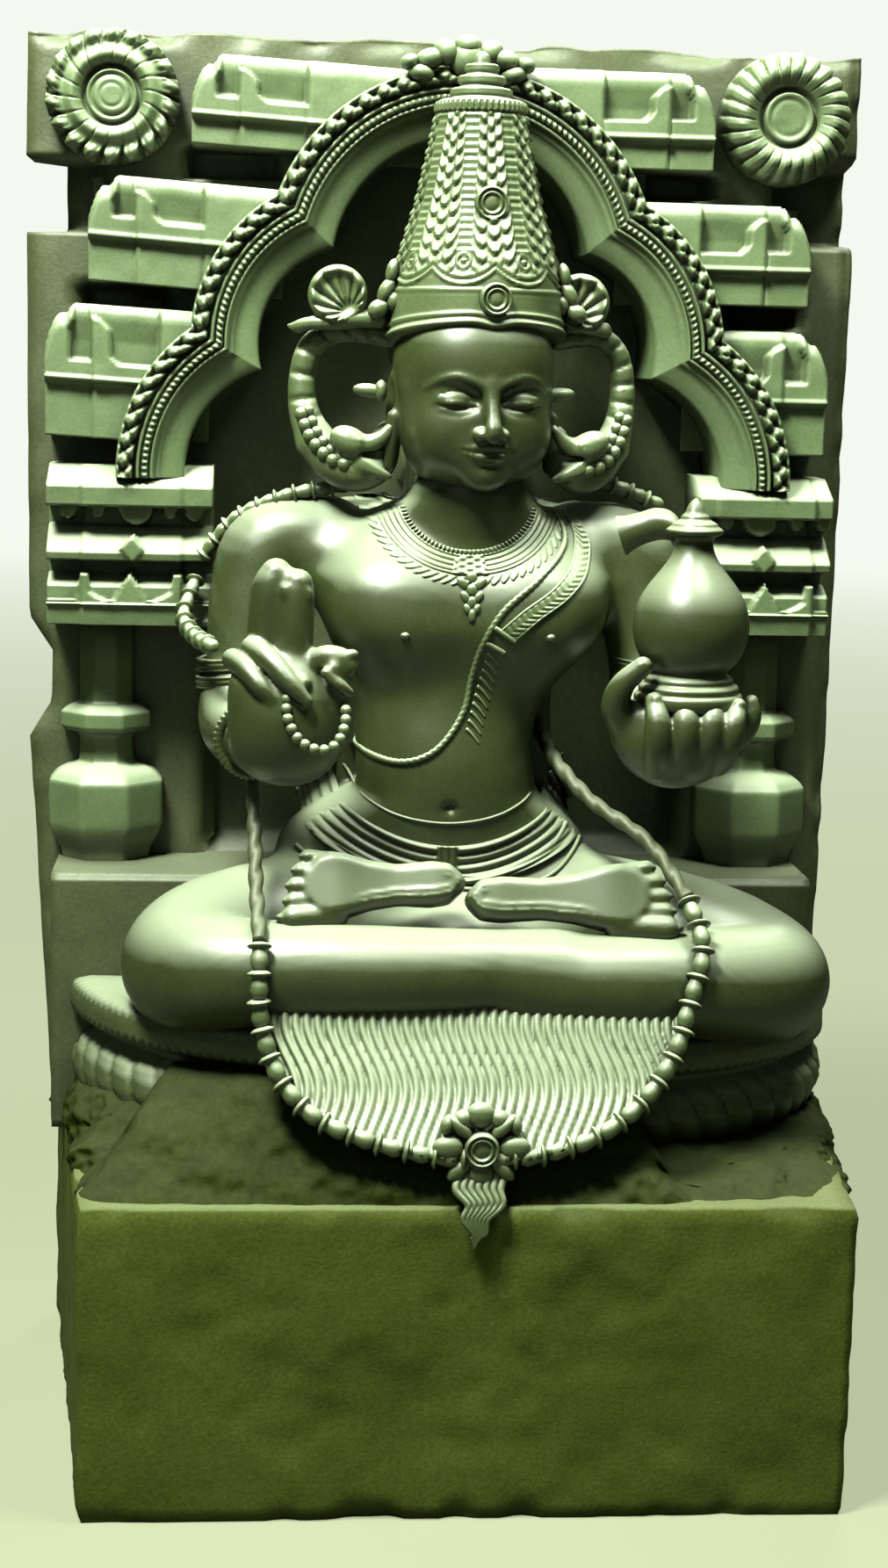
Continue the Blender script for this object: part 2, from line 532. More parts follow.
def arch_line(offset, shares):
    """The arch at one offset, as points in each lobe at the given shares of its arc: the lobe's
    circle grown by the offset, between its crossings with its neighbours."""
    cusps = [(ARCH_X + s * c[0], c[1]) for s, c in ((-1, low_cusp), (-1, high_cusp), (1, high_cusp),
                                                    (1, low_cusp))]
    first, last = LOBE_CIRCLES[0], LOBE_CIRCLES[-1]
    reach = math.sqrt((first[2] + offset) ** 2 - (ARCH_FOOT - first[1]) ** 2)
    joints = [(first[0] - reach, ARCH_FOOT)]
    joints += [crossing(left, right, offset, cusp)
               for left, right, cusp in zip(LOBE_CIRCLES, LOBE_CIRCLES[1:], cusps)]
    joints.append((last[0] + reach, ARCH_FOOT))
    runs = []
    for (cx, cz, radius), start, end, share in zip(LOBE_CIRCLES, joints, joints[1:], shares):
        a = math.atan2(start[1] - cz, start[0] - cx)
        b = math.atan2(end[1] - cz, end[0] - cx)
        angle = a + (b - a - (2 * math.pi if b > a else 0)) * share
        runs.append(np.column_stack([cx + (radius + offset) * np.cos(angle),
                                     cz + (radius + offset) * np.sin(angle)]))
    return np.concatenate(runs)


ARCH_STEPS = [112, 116, 364, 116, 112]
LEAF_PITCH, REED_PITCH = 15.0, 5.0
LEAF_ROLL, REED_STRING = (20.5, 31.5), (8.4, 12.8)
LEAF_MIDDLE, SPINE_AT = 26.0, 9.0
ARCH_PROFILE = [(33.5, 140), (33.5, 66), (33, 61), (31.5, 60), (30.5, 61), (29, 60), (27, 57),
                (25, 55.5), (23, 56), (21, 59), (19.8, 65), (19, 68), (18, 64), (17, 60), (15.8, 59.5),
                (14.8, 61), (14, 66), (13, 62), (11.5, 60), (9.5, 60), (8.2, 62), (7.5, 67), (6.6, 63),
                (5.4, 61.5), (4.2, 63), (3.4, 68), (2, 68.2), (-0.4, 68.6), (-1.0, 70.6), (-6, 72),
                (-12, 74), (-17.5, 76), (-19.4, 77.5), (-20, 80), (-20, 140), (-20, 182)]
SHARES = [np.arange(n) / n for n in ARCH_STEPS]
SHARES[-1] = np.arange(ARCH_STEPS[-1] + 1) / ARCH_STEPS[-1]

offsets, depths = np.array(ARCH_PROFILE).T
arch_xz = np.stack([arch_line(offset, SHARES) for offset in offsets], axis=1)
spine = arch_xz[:, np.argmin(np.abs(offsets - SPINE_AT))]
run = run_along(spine)[:, None]
leaf = np.mod((run + 0.9 * (offsets - LEAF_MIDDLE)) / LEAF_PITCH, 1)
leaf_tip = np.mod((run - 1.3 * (offsets - LEAF_MIDDLE)) / LEAF_PITCH + 0.3, 1)
in_leaves = band(offsets, *LEAF_ROLL, 2.0)
in_reeds = band(offsets, *REED_STRING, 1.0)
scooped = (9.0 * bell(leaf, 0.5, 0.17) * smooth_step(offsets, 33, 27)
           + 5.5 * bell(leaf_tip, 0.5, 0.12))
arch_y = depths + in_leaves * (scooped - 2.5)
arch_y = arch_y + in_reeds * 1.9 * np.cos(2 * math.pi * run / REED_PITCH)
make_piece("arch_moulding", skin(points_of(arch_xz[..., 0], arch_y, arch_xz[..., 1])), carved)


# A tuft of curled leaves stands over the crest of the arch, behind the tip of the crown.
def round_turn(count):
    """That many angles, evenly spaced round a full turn."""
    return np.linspace(0, 2 * math.pi, count, endpoint=False)


def bud(centre, radii, lean=0.0, rows=9, around=14):
    """A rounded bud: a sphere stretched to three radii and leaned in the plane of the wall."""
    rise = np.linspace(-0.98, 0.98, rows)[:, None] * math.pi / 2
    turn = round_turn(around)
    local_x, local_y = radii[0] * np.cos(rise) * np.cos(turn), radii[1] * np.cos(rise) * np.sin(turn)
    local_z = radii[2] * np.sin(rise)
    c, s = math.cos(lean), math.sin(lean)
    return skin(points_of(local_x * c - local_z * s + centre[0], local_y + centre[1],
                          local_x * s + local_z * c + centre[2]))


TUFT = [(9, 1078, 15, 15, 0.0), (-8, 1083, 10, 11, 0.8), (26, 1083, 10, 11, -0.8),
        (-20, 1078, 13, 8, 0.25), (38, 1078, 13, 8, -0.25), (9, 1088, 11, 9, 0.0),
        (-27, 1067, 11, 7, -0.2), (45, 1067, 11, 7, 0.2), (-36, 1075, 8, 6, 0.3),
        (54, 1075, 8, 6, -0.3)]
TUFT_Y, TUFT_DEEP = 62, 15
make_piece("crest_leaves", merge([bud((x, TUFT_Y, z), (w, TUFT_DEEP, h), lean)
                                  for x, z, w, h, lean in TUFT]), carved)


# The rosettes in the upper corners: pointed petals folded over a ring, with a round boss. The left
# boss has a second ring cut into it.
ROSETTES = [("rosette_left", -267.0, 1047.0, 18, True), ("rosette_right", 271.0, 1046.0, 24, False)]
ROSETTE_R, ROSETTE_BACK = 52, 138
for rosette_name, rosette_x, rosette_z, petals, pointed in ROSETTES:
    r = np.concatenate([np.linspace(0.5, ROSETTE_R, 42), [ROSETTE_R + 0.5] * 2])[:, None]
    angle = round_turn(264)
    phase = np.mod(angle * petals / (2 * math.pi) + 0.022 * r, 1) - 0.5
    seam = bell(np.abs(phase), 0.5, 0.07 + 0.002 * np.clip(r - 34, 0, 20))
    if pointed:
        reach = 53 - 11 * (np.abs(phase) * 2) ** 1.6
        dish = 103 - 12 * bell(r, 31, 8.0) - 8.5 * bell(r, 46, 5.5)
        groove = 1.5 * seam * smooth_step(r, 23, 28) + 6.5 * seam * smooth_step(r, 37, 46)
        ribs = 1.3 * bell(np.abs(phase), 0.24, 0.06) - 1.6 * bell(phase, 0, 0.12)
        ribs = ribs * smooth_step(r, 39, 44)
    else:
        reach = 52.5 - 5 * (np.abs(phase) * 2) ** 2.5
        dish = 104 - 13 * bell(r, 36, 12) + 0.004 * np.clip(r - 44, 0, 9) ** 3.2
        groove = (1.6 * smooth_step(r, 25, 31) + 3.4 * smooth_step(r, 32, 44)) * seam
        ribs = -1.2 * bell(phase, 0, 0.16) * smooth_step(r, 30, 42)
    y = dish + groove + ribs + 10 * smooth_step(r, reach - 1.2, reach + 0.8) * smooth_step(r, 38, 44)
    y = y + 4 * band(r, 20, 24, 2.0) - 4.5 * smooth_step(r, 21, 19) - 1.5 * smooth_step(r, 17, 10)
    if pointed:
        y = y + 2.6 * bell(r, 16, 1.2) + 1.4 * bell(r, 9, 1.1)
    else:
        y = y + 1.6 * smooth_step(r, 16.2, 14.8)
    y[-1] = ROSETTE_BACK
    rings = points_of(rosette_x + r * np.cos(angle), y, rosette_z + r * np.sin(angle))
    rings[..., 2] = np.minimum(rings[..., 2], SLAB_TOP - 1.5)
    rings[..., 1] += 0.4 * grain(rings, 9, 31)
    make_piece(rosette_name, skin(rings), carved)


# The capitals that the arch springs from: three mouldings over one another, with leaf drops in the
# first hollow, a small lozenge on the second roll and stepped merlons on the third.
CAPITALS = [("capital_left", -316.0, -184.0, 1), ("capital_right", 206.0, 316.0, -1)]
CAPITAL_PROFILE = [(633, 76), (634, 64), (650, 62), (651, 59), (653.5, 59), (654.5, 66), (664, 66),
                   (666, 68), (673, 84), (674, 90), (684, 90), (685, 68), (686.5, 61), (691.5, 60),
                   (694, 62), (711, 86), (712.5, 92), (727, 92), (728, 64), (730, 60.5), (743, 60),
                   (745, 61.5), (760, 94), (760.2, 140)]
DROPS = [(-50, 8, 11), (-26, 6, 10), (4, 14, 15), (31, 6, 10), (50, 8, 12)]
CAPITAL_FOOT, CAPITAL_TOP, CAPITAL_BACK = 633, 760, 140.0


def capital_front(middle, side):
    """The depth of a capital: its profile by height, brought forward under the merlons, the drops
    and the lozenge, which are bounded by straight and rounded edges."""
    heights, depths = np.array(CAPITAL_PROFILE).T

    def depth(x, z):
        along = (x - middle) * side
        y = np.interp(z, heights, depths)
        away = np.abs(along)
        outline = np.maximum(24 - 1.75 * away, 7.5 * np.clip((away - 12) / 20, 0, 1) ** 2 * (away < 34))
        outline = np.maximum(outline, 22 * band(away, 33, 41, 1.2))
        merlon = smooth_step(outline - (z - 653), -0.8, 0.8)
        y = np.where((z > 652) & (z < 682), y + (60.5 - y) * merlon, y)
        drops = sum(smooth_step(1 - ((along - at) / half) ** 2 - np.clip((728 - z) / length, 0, 9) ** 2,
                                -0.08, 0.12) for at, half, length in DROPS)
        y = np.where((z > 711) & (z < 729), y + (69 - y) * np.clip(drops, 0, 1), y)
        lozenge = smooth_step(10 - np.abs(along - 2) - np.abs(z - 695) * 0.9, -0.6, 0.6)
        y = y + (58.5 - y) * lozenge
        stepped = 4.0 * smooth_step(along, -38, -40) + 3.0 * smooth_step(along, 40, 42) * (z > 640)
        return np.minimum(y + stepped + 0.5 * grain(points_of(x, y, z), 12, 41), CAPITAL_BACK - 1)
    return depth


for capital_name, start, end, side in CAPITALS:
    heights = np.unique(np.concatenate([np.arange(CAPITAL_FOOT, CAPITAL_TOP + 0.1, 1.8),
                                        [z for z, _ in CAPITAL_PROFILE]]))
    make_piece(capital_name, relief_block(np.arange(start, end + 0.1, 1.9), heights,
                                          capital_front((start + end) / 2, side), CAPITAL_BACK), carved)


# The pilasters below them, cut from the wall: each a pot on a foot with a ringed neck, dressed to
# eight flat sides.
def smooth_path(stops, per_gap=6):
    """A smooth line through stops (rows of any numbers): cubic between each two, its slope at a stop
    being half the step between the neighbours of that stop."""
    stops = np.array(stops, float)
    ends = np.concatenate([[2 * stops[0] - stops[1]], stops, [2 * stops[-1] - stops[-2]]])
    t = (np.arange(per_gap) / per_gap)[None, :, None]
    p0, p1, p2, p3 = (ends[k:len(ends) - 3 + k, None] for k in range(4))
    curve = 0.5 * (2 * p1 + (p2 - p0) * t + (2 * p0 - 5 * p1 + 4 * p2 - p3) * t ** 2
                   + (3 * p1 - p0 - 3 * p2 + p3) * t ** 3)
    return np.concatenate([curve.reshape(-1, stops.shape[1]), stops[-1:]])


PILASTERS = [("pilaster_left", -272.0), ("pilaster_right", 266.0)]
PILASTER_PROFILE = [(36, 428), (37, 440), (39, 446), (43, 453), (47.5, 463), (48, 471), (48, 497),
                    (46.5, 502), (41, 508), (33, 512), (25, 514.5), (23, 520), (22, 532), (24, 539),
                    (33, 542), (37, 545), (37.5, 547), (37.5, 555), (36.5, 558), (30, 562), (24, 564),
                    (22, 568), (22, 640)]
HALF_FLAT, FLAT_SHARE = math.pi / 8, 0.97
for pilaster_name, pilaster_x in PILASTERS:
    radius, height = smooth_path(PILASTER_PROFILE, 2).T[..., None]
    angle = round_turn(120)
    facet = np.mod(angle + HALF_FLAT, 2 * HALF_FLAT) - HALF_FLAT
    reach = radius * FLAT_SHARE / np.cos(facet)
    rings = points_of(pilaster_x + reach * np.cos(angle), SLAB_FACE - 2 + reach * np.sin(angle), height)
    rings[..., :2] += 0.5 * grain(rings, 16, 51)[..., None]
    make_piece(pilaster_name, skin(rings), carved)


# The ledge of the throne back, on which the pilasters stand and against which the knees rest: a
# plain block with a rounded upper edge, cut from the wall.
LEDGE_LEFT, LEDGE_RIGHT, LEDGE_FRONT = -311.0, 306.0, 40.0
LEDGE_FOOT, LEDGE_EDGE, LEDGE_TOP, LEDGE_STEP = 226, 428, 436, 7.0


def ledge_front(x, z):
    """A flat face with a rounded upper edge and a faint waviness."""
    rounded = 5 * smooth_step(z, LEDGE_EDGE + 1, LEDGE_TOP) ** 2
    return LEDGE_FRONT + rounded + 0.8 * grain(points_of(x, z, z), 30, 55)


make_piece("throne_ledge", relief_block(
    np.arange(LEDGE_LEFT, LEDGE_RIGHT + 0.1, LEDGE_STEP),
    np.concatenate([np.arange(LEDGE_FOOT, LEDGE_EDGE, LEDGE_STEP),
                    np.arange(LEDGE_EDGE, LEDGE_TOP + 0.1, 1.0)]),
    ledge_front, NICHE_BACK + 4), weathered)


# The figure is modelled like clay: rounded masses are pressed into a grid of distances, their joins
# run together, and a skin is drawn where the distance is nought. Here are the trunk, arms and legs.
def clay_block(low, high, step):
    """An empty block of clay: its three axes, and a distance for each point, all far outside."""
    axes = [np.arange(l, h + step / 2, step) for l, h in zip(low, high)]
    return axes, np.full([len(a) for a in axes], 40.0, np.float32)


def press(clay, low, high, distance, blend, cut=False):
    """Joins a mass to the clay, or cuts it away, inside the window low to high. The join is rounded
    over blend: the smaller distance, less a quarter of blend where the two are equal."""
    axes, field = clay
    window = tuple(slice(*np.searchsorted(a, (l, h))) for a, l, h in zip(axes, low, high))
    if any(w.stop <= w.start for w in window):
        return
    points = np.stack(np.meshgrid(*[a[w] for a, w in zip(axes, window)], indexing="ij"), axis=-1)
    old, new = field[window], distance(points)
    sign = -1 if cut else 1
    old = sign * old
    share = np.clip(0.5 + 0.5 * (new - old) / blend, 0, 1)
    field[window] = sign * (new + (old - new) * share - blend * share * (1 - share))


def limb(clay, stops, blend, per_gap=5, cut=False):
    """A limb along stops (x, y, z, radius): the smallest distance to the cones between them."""
    path = smooth_path(stops, per_gap)
    reach = path[:, 3].max() + blend + 3
    low, high = path[:, :3].min(axis=0) - reach, path[:, :3].max(axis=0) + reach

    def distance(points):
        nearest = np.full(points.shape[:-1], 1e3)
        for a, b in zip(path, path[1:]):
            run = b[:3] - a[:3]
            t = np.clip(((points - a[:3]) @ run) / (run @ run), 0, 1)
            away = np.linalg.norm(points - a[:3] - t[..., None] * run, axis=-1)
            nearest = np.minimum(nearest, away - (a[3] + t * (b[3] - a[3])))
        return nearest
    press(clay, low, high, distance, blend, cut)


def egg(clay, centre, radii, blend, cut=False, lean=0.0):
    """An egg with three radii, leaned in the plane of the wall: distance as the stretched length
    times itself less one, over its slope."""
    radii = np.array(radii, float)
    reach = radii.max() + blend + 3
    c, s = math.cos(lean), math.sin(lean)

    def distance(points):
        local = points - centre
        local = np.stack([local[..., 0] * c + local[..., 2] * s, local[..., 1],
                          local[..., 2] * c - local[..., 0] * s], axis=-1)
        size = np.linalg.norm(local / radii, axis=-1)
        return size * (size - 1) / np.maximum(np.linalg.norm(local / radii ** 2, axis=-1), 1e-6)
    press(clay, np.array(centre) - reach, np.array(centre) + reach, distance, blend, cut)


def front_of(clay, x, z):
    """The y of the clay's front surface at places (x, z): the first sign change from the front,
    blended between the four grid lines round each place."""
    axes, field = clay
    inside = field < 0
    first = np.argmax(inside, axis=1)
    first = np.clip(first, 1, field.shape[1] - 1)
    outer = np.take_along_axis(field, first[:, None] - 1, axis=1)[:, 0]
    inner = np.take_along_axis(field, first[:, None], axis=1)[:, 0]
    step = axes[1][1] - axes[1][0]
    depth = axes[1][first] - step * np.clip(inner / np.minimum(inner - outer, -1e-6), 0, 1)
    depth = np.where(inside.any(axis=1), depth, 150.0)
    u, v = (np.clip((np.asarray(value, float) - axis[0]) / (axis[1] - axis[0]), 0, len(axis) - 1.001)
            for value, axis in ((x, axes[0]), (z, axes[2])))
    i, k = u.astype(int), v.astype(int)
    u, v = u - i, v - k
    return ((depth[i, k] * (1 - u) + depth[i + 1, k] * u) * (1 - v)
            + (depth[i, k + 1] * (1 - u) + depth[i + 1, k + 1] * u) * v)


def drawn_skin(clay):
    """The skin of the clay: one point in each cell that the surface crosses, at the mean of the
    crossings on the cell's edges, and a quad round each grid edge whose ends differ."""
    axes, field = clay
    field = field.copy()
    for axis in range(3):
        rim = [slice(None)] * 3
        for end in (0, -1):
            rim[axis] = end
            field[tuple(rim)] = np.maximum(field[tuple(rim)], 0.5)
    inside = field < 0
    counts = np.zeros(np.array(field.shape) - 1, np.int8)
    corner_steps = [np.array([(c >> a) & 1 for a in range(3)]) for c in range(8)]
    for step in corner_steps:
        counts += inside[tuple(slice(s, s + n) for s, n in zip(step, counts.shape))]
    cells = np.argwhere((counts > 0) & (counts < 8))
    total, hits = np.zeros(cells.shape), np.zeros(len(cells))
    values = [field[tuple((cells + step).T)] for step in corner_steps]
    for a in range(8):
        for axis in range(3):
            if corner_steps[a][axis]:
                continue
            b = a + (1 << axis)
            crossed = (values[a] < 0) != (values[b] < 0)
            t = values[a] / np.where(crossed, values[a] - values[b], 1)
            at = corner_steps[a] + t[:, None] * (corner_steps[b] - corner_steps[a])
            total += np.where(crossed[:, None], at, 0)
            hits += crossed
    spots = cells + total / hits[:, None]
    points = np.column_stack([np.interp(spots[:, k], np.arange(len(axis)), axis)
                              for k, axis in enumerate(axes)])
    number = np.full(counts.shape, -1, np.int32)
    number[tuple(cells.T)] = np.arange(len(cells))
    quads = []
    for axis in range(3):
        one, two = (axis + 1) % 3, (axis + 2) % 3
        low = [slice(1, -1)] * 3
        low[axis] = slice(0, -1)
        high = list(low)
        high[axis] = slice(1, None)
        differ = inside[tuple(low)] != inside[tuple(high)]
        edges = np.argwhere(differ) + np.array([0 if k == axis else 1 for k in range(3)])
        into = inside[tuple(edges.T)]
        around = []
        for da, db in ((0, 0), (1, 0), (1, 1), (0, 1)):
            cell = edges.copy()
            cell[:, one] -= da
            cell[:, two] -= db
            around.append(number[tuple(cell.T)])
        quad = np.column_stack(around)
        quads.append(np.where(into[:, None], quad, quad[:, ::-1]))
    return points, np.concatenate(quads), np.zeros((0, 3), np.int64)


TRUNK = [(352, -2, 40, 120, 110, 100), (450, -6, 42, 128, 74, 100), (474, -6, 42, 122, 67, 95),
         (496, -3, 42, 98, 64, 92), (513, 3, 42, 66, 63, 88), (545, -1, 42, 65, 65, 88),
         (575, 1, 43, 74, 66, 88), (606, 7, 43, 88, 68, 88), (645, 10, 44, 108, 76, 86),
         (680, 8, 46, 128, 68, 80), (704, 8, 48, 122, 56, 72), (726, 12, 46, 84, 46, 62),
         (744, 15, 38, 46, 42, 54), (752, 16, 34, 40, 40, 52)]
NECK = [(698, 30), (722, 40), (736, 42), (748, 42), (752, 40.8), (762, 41.8), (767, 40.2), (776, 41),
        (790, 39)]
ARM_RAISED = [(-94, 54, 706, 35), (-138, 52, 699, 37), (-152, 44, 660, 34.5), (-159, 32, 608, 30),
              (-165, 10, 570, 29), (-156, -30, 560, 27), (-148, -62, 562, 22)]
ARM_POT = [(104, 54, 706, 35), (144, 52, 698, 37), (156, 44, 660, 34), (161, 34, 612, 29),
           (158, 10, 572, 29), (156, -30, 564, 26), (162, -64, 564, 23)]
LEG_LEFT = [(-44, 30, 414, 56), (-116, 2, 404, 57), (-176, -28, 392, 58), (-199, -54, 386, 51),
            (-182, -86, 388, 45), (-116, -108, 394, 38), (0, -114, 396, 33), (76, -104, 398, 29)]
LEG_RIGHT = [(52, 30, 412, 56), (130, 4, 404, 58), (206, -26, 390, 58), (252, -50, 378, 49),
             (232, -80, 378, 45), (160, -104, 386, 39), (56, -108, 388, 34)]

TRUNK_FOOT, TRUNK_TOP, TRUNK_POWER = 352, 752, 2.35
NECK_FOOT, NECK_TOP, NECK_X, NECK_Y, NECK_LEAN = 699, 788, 16, 28, 0.02

BODY_STEP = 4.1
body_clay = clay_block((-266, -152, 334), (316, 182, 792), BODY_STEP)
heights, *section = np.array(TRUNK).T
table_z = np.arange(340.0, 764.0)
smoothing = np.hanning(23)[1:-1]
smoothing /= smoothing.sum()
section = [np.pad(np.interp(table_z, heights, row), 10, mode="edge") for row in section]
section = [np.convolve(row, smoothing, mode="valid") for row in section]


def trunk_distance(points):
    """The trunk: level ovals whose middle, width and depth come from the table by height."""
    middle_x, middle_y, half, front, rear = (np.interp(points[..., 2], table_z, row) for row in section)
    dx, dy = points[..., 0] - middle_x, points[..., 1] - middle_y
    deep = np.where(dy < 0, front, rear)
    oval = (np.abs(dx) / half) ** TRUNK_POWER + (np.abs(dy) / deep) ** TRUNK_POWER
    return np.maximum((oval ** (1 / TRUNK_POWER) - 1) * np.minimum(half, deep),
                      np.maximum(TRUNK_FOOT - points[..., 2], points[..., 2] - TRUNK_TOP))


press(body_clay, (-150, -90, 350), (160, 160, 756), trunk_distance, 6)
for pec_x in (-38, 70):
    egg(body_clay, (pec_x, -3, 655), (46, 31, 38), 34)
egg(body_clay, (3, 22, 524), (56, 50, 58), 40)
for arm in (ARM_RAISED, ARM_POT):
    limb(body_clay, arm, 14)
for leg in (LEG_LEFT, LEG_RIGHT):
    limb(body_clay, leg, 12, 9)
egg(body_clay, (6, 10, 396), (120, 96, 52), 18)


def neck_distance(points):
    """The neck: upright, with its radius by height, which puts two soft folds in it."""
    z, radius = np.array(NECK).T
    from_axis = np.hypot(points[..., 0] - NECK_X - NECK_LEAN * (points[..., 2] - 740),
                         points[..., 1] - NECK_Y)
    return np.maximum(from_axis - np.interp(points[..., 2], z, radius),
                      np.maximum(points[..., 2] - NECK_TOP, NECK_FOOT - points[..., 2]))


press(body_clay, (-56, -40, 690), (88, 100, 791), neck_distance, 16)

# Two blocks of uncut stone, behind the trunk and behind the neck, tie the figure to the slab.
axes, field = body_clay
gx, gy, gz = (a.astype(np.float32) for a in np.meshgrid(*axes, indexing="ij", sparse=True))
backing = np.maximum(np.maximum(np.abs(gx - 6) - 88, 96 - gy), np.maximum(432 - gz, gz - 734))
np.minimum(field, backing, out=field)
head_backing = np.maximum(np.maximum(np.abs(gx - NECK_X) - 44, 60 - gy), 726 - gz)
np.minimum(field, head_backing, out=field)

NIPPLES, NAVEL = [(-36, 640), (76, 640)], (2, 507)
nipples = []
for nipple_x, nipple_z in NIPPLES:
    nipple_y = float(front_of(body_clay, nipple_x, nipple_z))
    nipples.append(bud((nipple_x, nipple_y + 1.0, nipple_z), (4.2, 4.0, 3.6)))
navel_y = float(front_of(body_clay, *NAVEL))
egg(body_clay, (NAVEL[0], navel_y + 0.5, NAVEL[1] - 1), (5.5, 6.5, 4.0), 5, cut=True)
points, quads, caps = drawn_skin(body_clay)
points = points + 0.25 * grain(points, 15, 61)[:, None]
make_piece("body", merge([(points, quads, caps), *nipples]), polished)


# The crossed feet lie over the shins with the soles up and forward: each is an even sole with a
# ridge inside its edge, narrow at the heel and broad at the ball, and five toes with the big one low.
FEET = [("foot_left", -1, (4, -92, 459), 0.03, 134), ("foot_right", 1, (15, -94, 447), -0.02, 158)]
SOLE_OUTLINE = [(0, 12), (6, 15), (20, 17), (45, 16), (66, 19), (84, 24), (96, 26), (104, 24),
                (110, 20)]
SOLE_TILT, SOLE_HALF_THICK, SOLE_ROUND = 1.14, 11.0, 8
FOOT_STEP, FOOT_LENGTH = 1.9, 134
TOES = [(22, 102, 119, 6.4), (11.5, 106, 125, 7.0), (0, 108, 129, 7.4), (-11.5, 108, 131, 7.8),
        (-24, 104, 134, 10.8)]


def foot_place(heel, side, drop, along, across, out):
    """A place on a foot: along it from the heel, across it and out of the sole, as x, y and z."""
    x = heel[0] + side * along
    y = heel[1] + across * math.cos(SOLE_TILT) - out * math.sin(SOLE_TILT)
    z = heel[2] + across * math.sin(SOLE_TILT) + out * math.cos(SOLE_TILT) - drop * along
    return x, y, z


for foot_name, side, heel, drop, length in FEET:
    stretch = length / FOOT_LENGTH
    ends = sorted([heel[0] - side * 14, heel[0] + side * (length + 12)])
    foot_low, foot_high = (ends[0], -150, 392), (ends[1], -52, 500)
    clay = clay_block(foot_low, foot_high, FOOT_STEP)
    outline_u, outline_v = np.array(SOLE_OUTLINE, float).T

    def sole_distance(points):
        """The sole: a slab between two planes inside the outline, with rounded edges and a ridge."""
        dx = (points[..., 0] - heel[0]) * side
        dz = points[..., 2] - heel[2] + drop * dx
        dy = points[..., 1] - heel[1]
        across = dy * math.cos(SOLE_TILT) + dz * math.sin(SOLE_TILT)
        out = dz * math.cos(SOLE_TILT) - dy * math.sin(SOLE_TILT)
        u = dx / stretch
        half = np.interp(u, outline_u, outline_v)
        beyond = np.maximum(np.maximum(8 - u, u - 104) * stretch, 0)
        inside = np.where(beyond > 0, np.hypot(beyond, np.maximum(np.abs(across) - half + 15, 0)) - 15,
                          np.abs(across) - half)
        belly = (SOLE_HALF_THICK + 3.5 * bell(u, 90, 16)
                 + 2.5 * bell(u, 14, 14) - 2 * bell(u, 50, 18))
        ridge = 1.5 * bell(inside, -5.5, 1.6) + 1.1 * bell(inside, -10.5, 1.5)
        ridge = (ridge * smooth_step(u, 84, 60)
                 * np.maximum(smooth_step(across, 2, -6), smooth_step(u, 14, 2)))
        slab = np.abs(out) - belly - np.where(out > 0, ridge, 0)
        a, b = inside + SOLE_ROUND, slab + SOLE_ROUND
        rounded = np.hypot(np.maximum(a, 0), np.maximum(b, 0))
        return np.minimum(np.maximum(a, b), 0) + rounded - SOLE_ROUND

    press(clay, foot_low, foot_high, sole_distance, 2)
    for across, start, end, size in TOES:
        stops = [(*foot_place(heel, side, drop, start * stretch - 12, across * 0.9, 0), size),
                 (*foot_place(heel, side, drop, (start + end) / 2 * stretch, across, 3), size),
                 (*foot_place(heel, side, drop, end * stretch - size, across * 1.02, 4), size * 0.92)]
        limb(clay, stops, 2.0, 6)
        nail = foot_place(heel, side, drop, end * stretch - 1.5, across * 1.02, 6)
        egg(clay, nail, (size * 0.4, size * 0.4, size * 0.34), 1.2)
    make_piece(foot_name, drawn_skin(clay), polished)


# The raised right hand: two fingers upright side by side, two folded over the palm, and the thumb
# pinching the string of beads.
HAND_STEP = 2.05
clay = clay_block((-206, -142, 518), (-66, -30, 712), HAND_STEP)
limb(clay, [(-152, -40, 561, 25.2), (-146, -64, 562, 25), (-136, -82, 570, 32), (-128, -88, 588, 37),
            (-126, -88, 606, 32)], 5, 6)
egg(clay, (-124, -92, 578), (43, 30, 45), 12)
egg(clay, (-152, -88, 604), (17, 22, 24), 10)
UPRIGHT = [[(-142, -84, 612, 15), (-141, -86, 652, 15), (-139, -88, 678, 14.4), (-135, -88, 690, 12)],
           [(-122, -92, 606, 14), (-121, -94, 646, 14), (-120, -95, 672, 13.4), (-119, -95, 684, 11)]]
for finger in UPRIGHT:
    limb(clay, finger, 7, 6)
for nail_x, nail_y, nail_z in ((-127, -106.5, 678), (-113, -106, 676)):
    egg(clay, (nail_x, nail_y + 2.8, nail_z), (5.2, 3.0, 7.0), 1.0)
FOLDED = [[(-166, -84, 626, 8.5), (-158, -104, 624, 8.2), (-147, -118, 612, 7), (-138, -121, 602, 4.6)],
          [(-152, -96, 636, 9), (-140, -112, 630, 8.6), (-125, -124, 615, 7.2), (-112, -127, 601, 4.8)]]
for finger in FOLDED:
    limb(clay, finger, 3.0, 6)
POINTING = [(-112, -96, 622, 11), (-98, -104, 631, 9), (-86, -108, 631, 7.6), (-80, -110, 626, 6.0)]
THUMB = [(-96, -88, 578, 22), (-88, -96, 602, 15), (-87, -104, 616, 10.5), (-92, -112, 623, 7)]
limb(clay, POINTING, 3, 6)
limb(clay, THUMB, 5, 6)
limb(clay, [(-98, -116, 621, 4.2), (-88, -117, 612, 4.6), (-80, -114, 606, 3.4)], 1.6, 6)
egg(clay, (-116, -118, 613), (7.5, 6, 6.5), 2)
egg(clay, (-79, -111, 634), (5.4, 4.6, 4.4), 1.2)
make_piece("raised_hand", drawn_skin(clay), polished)


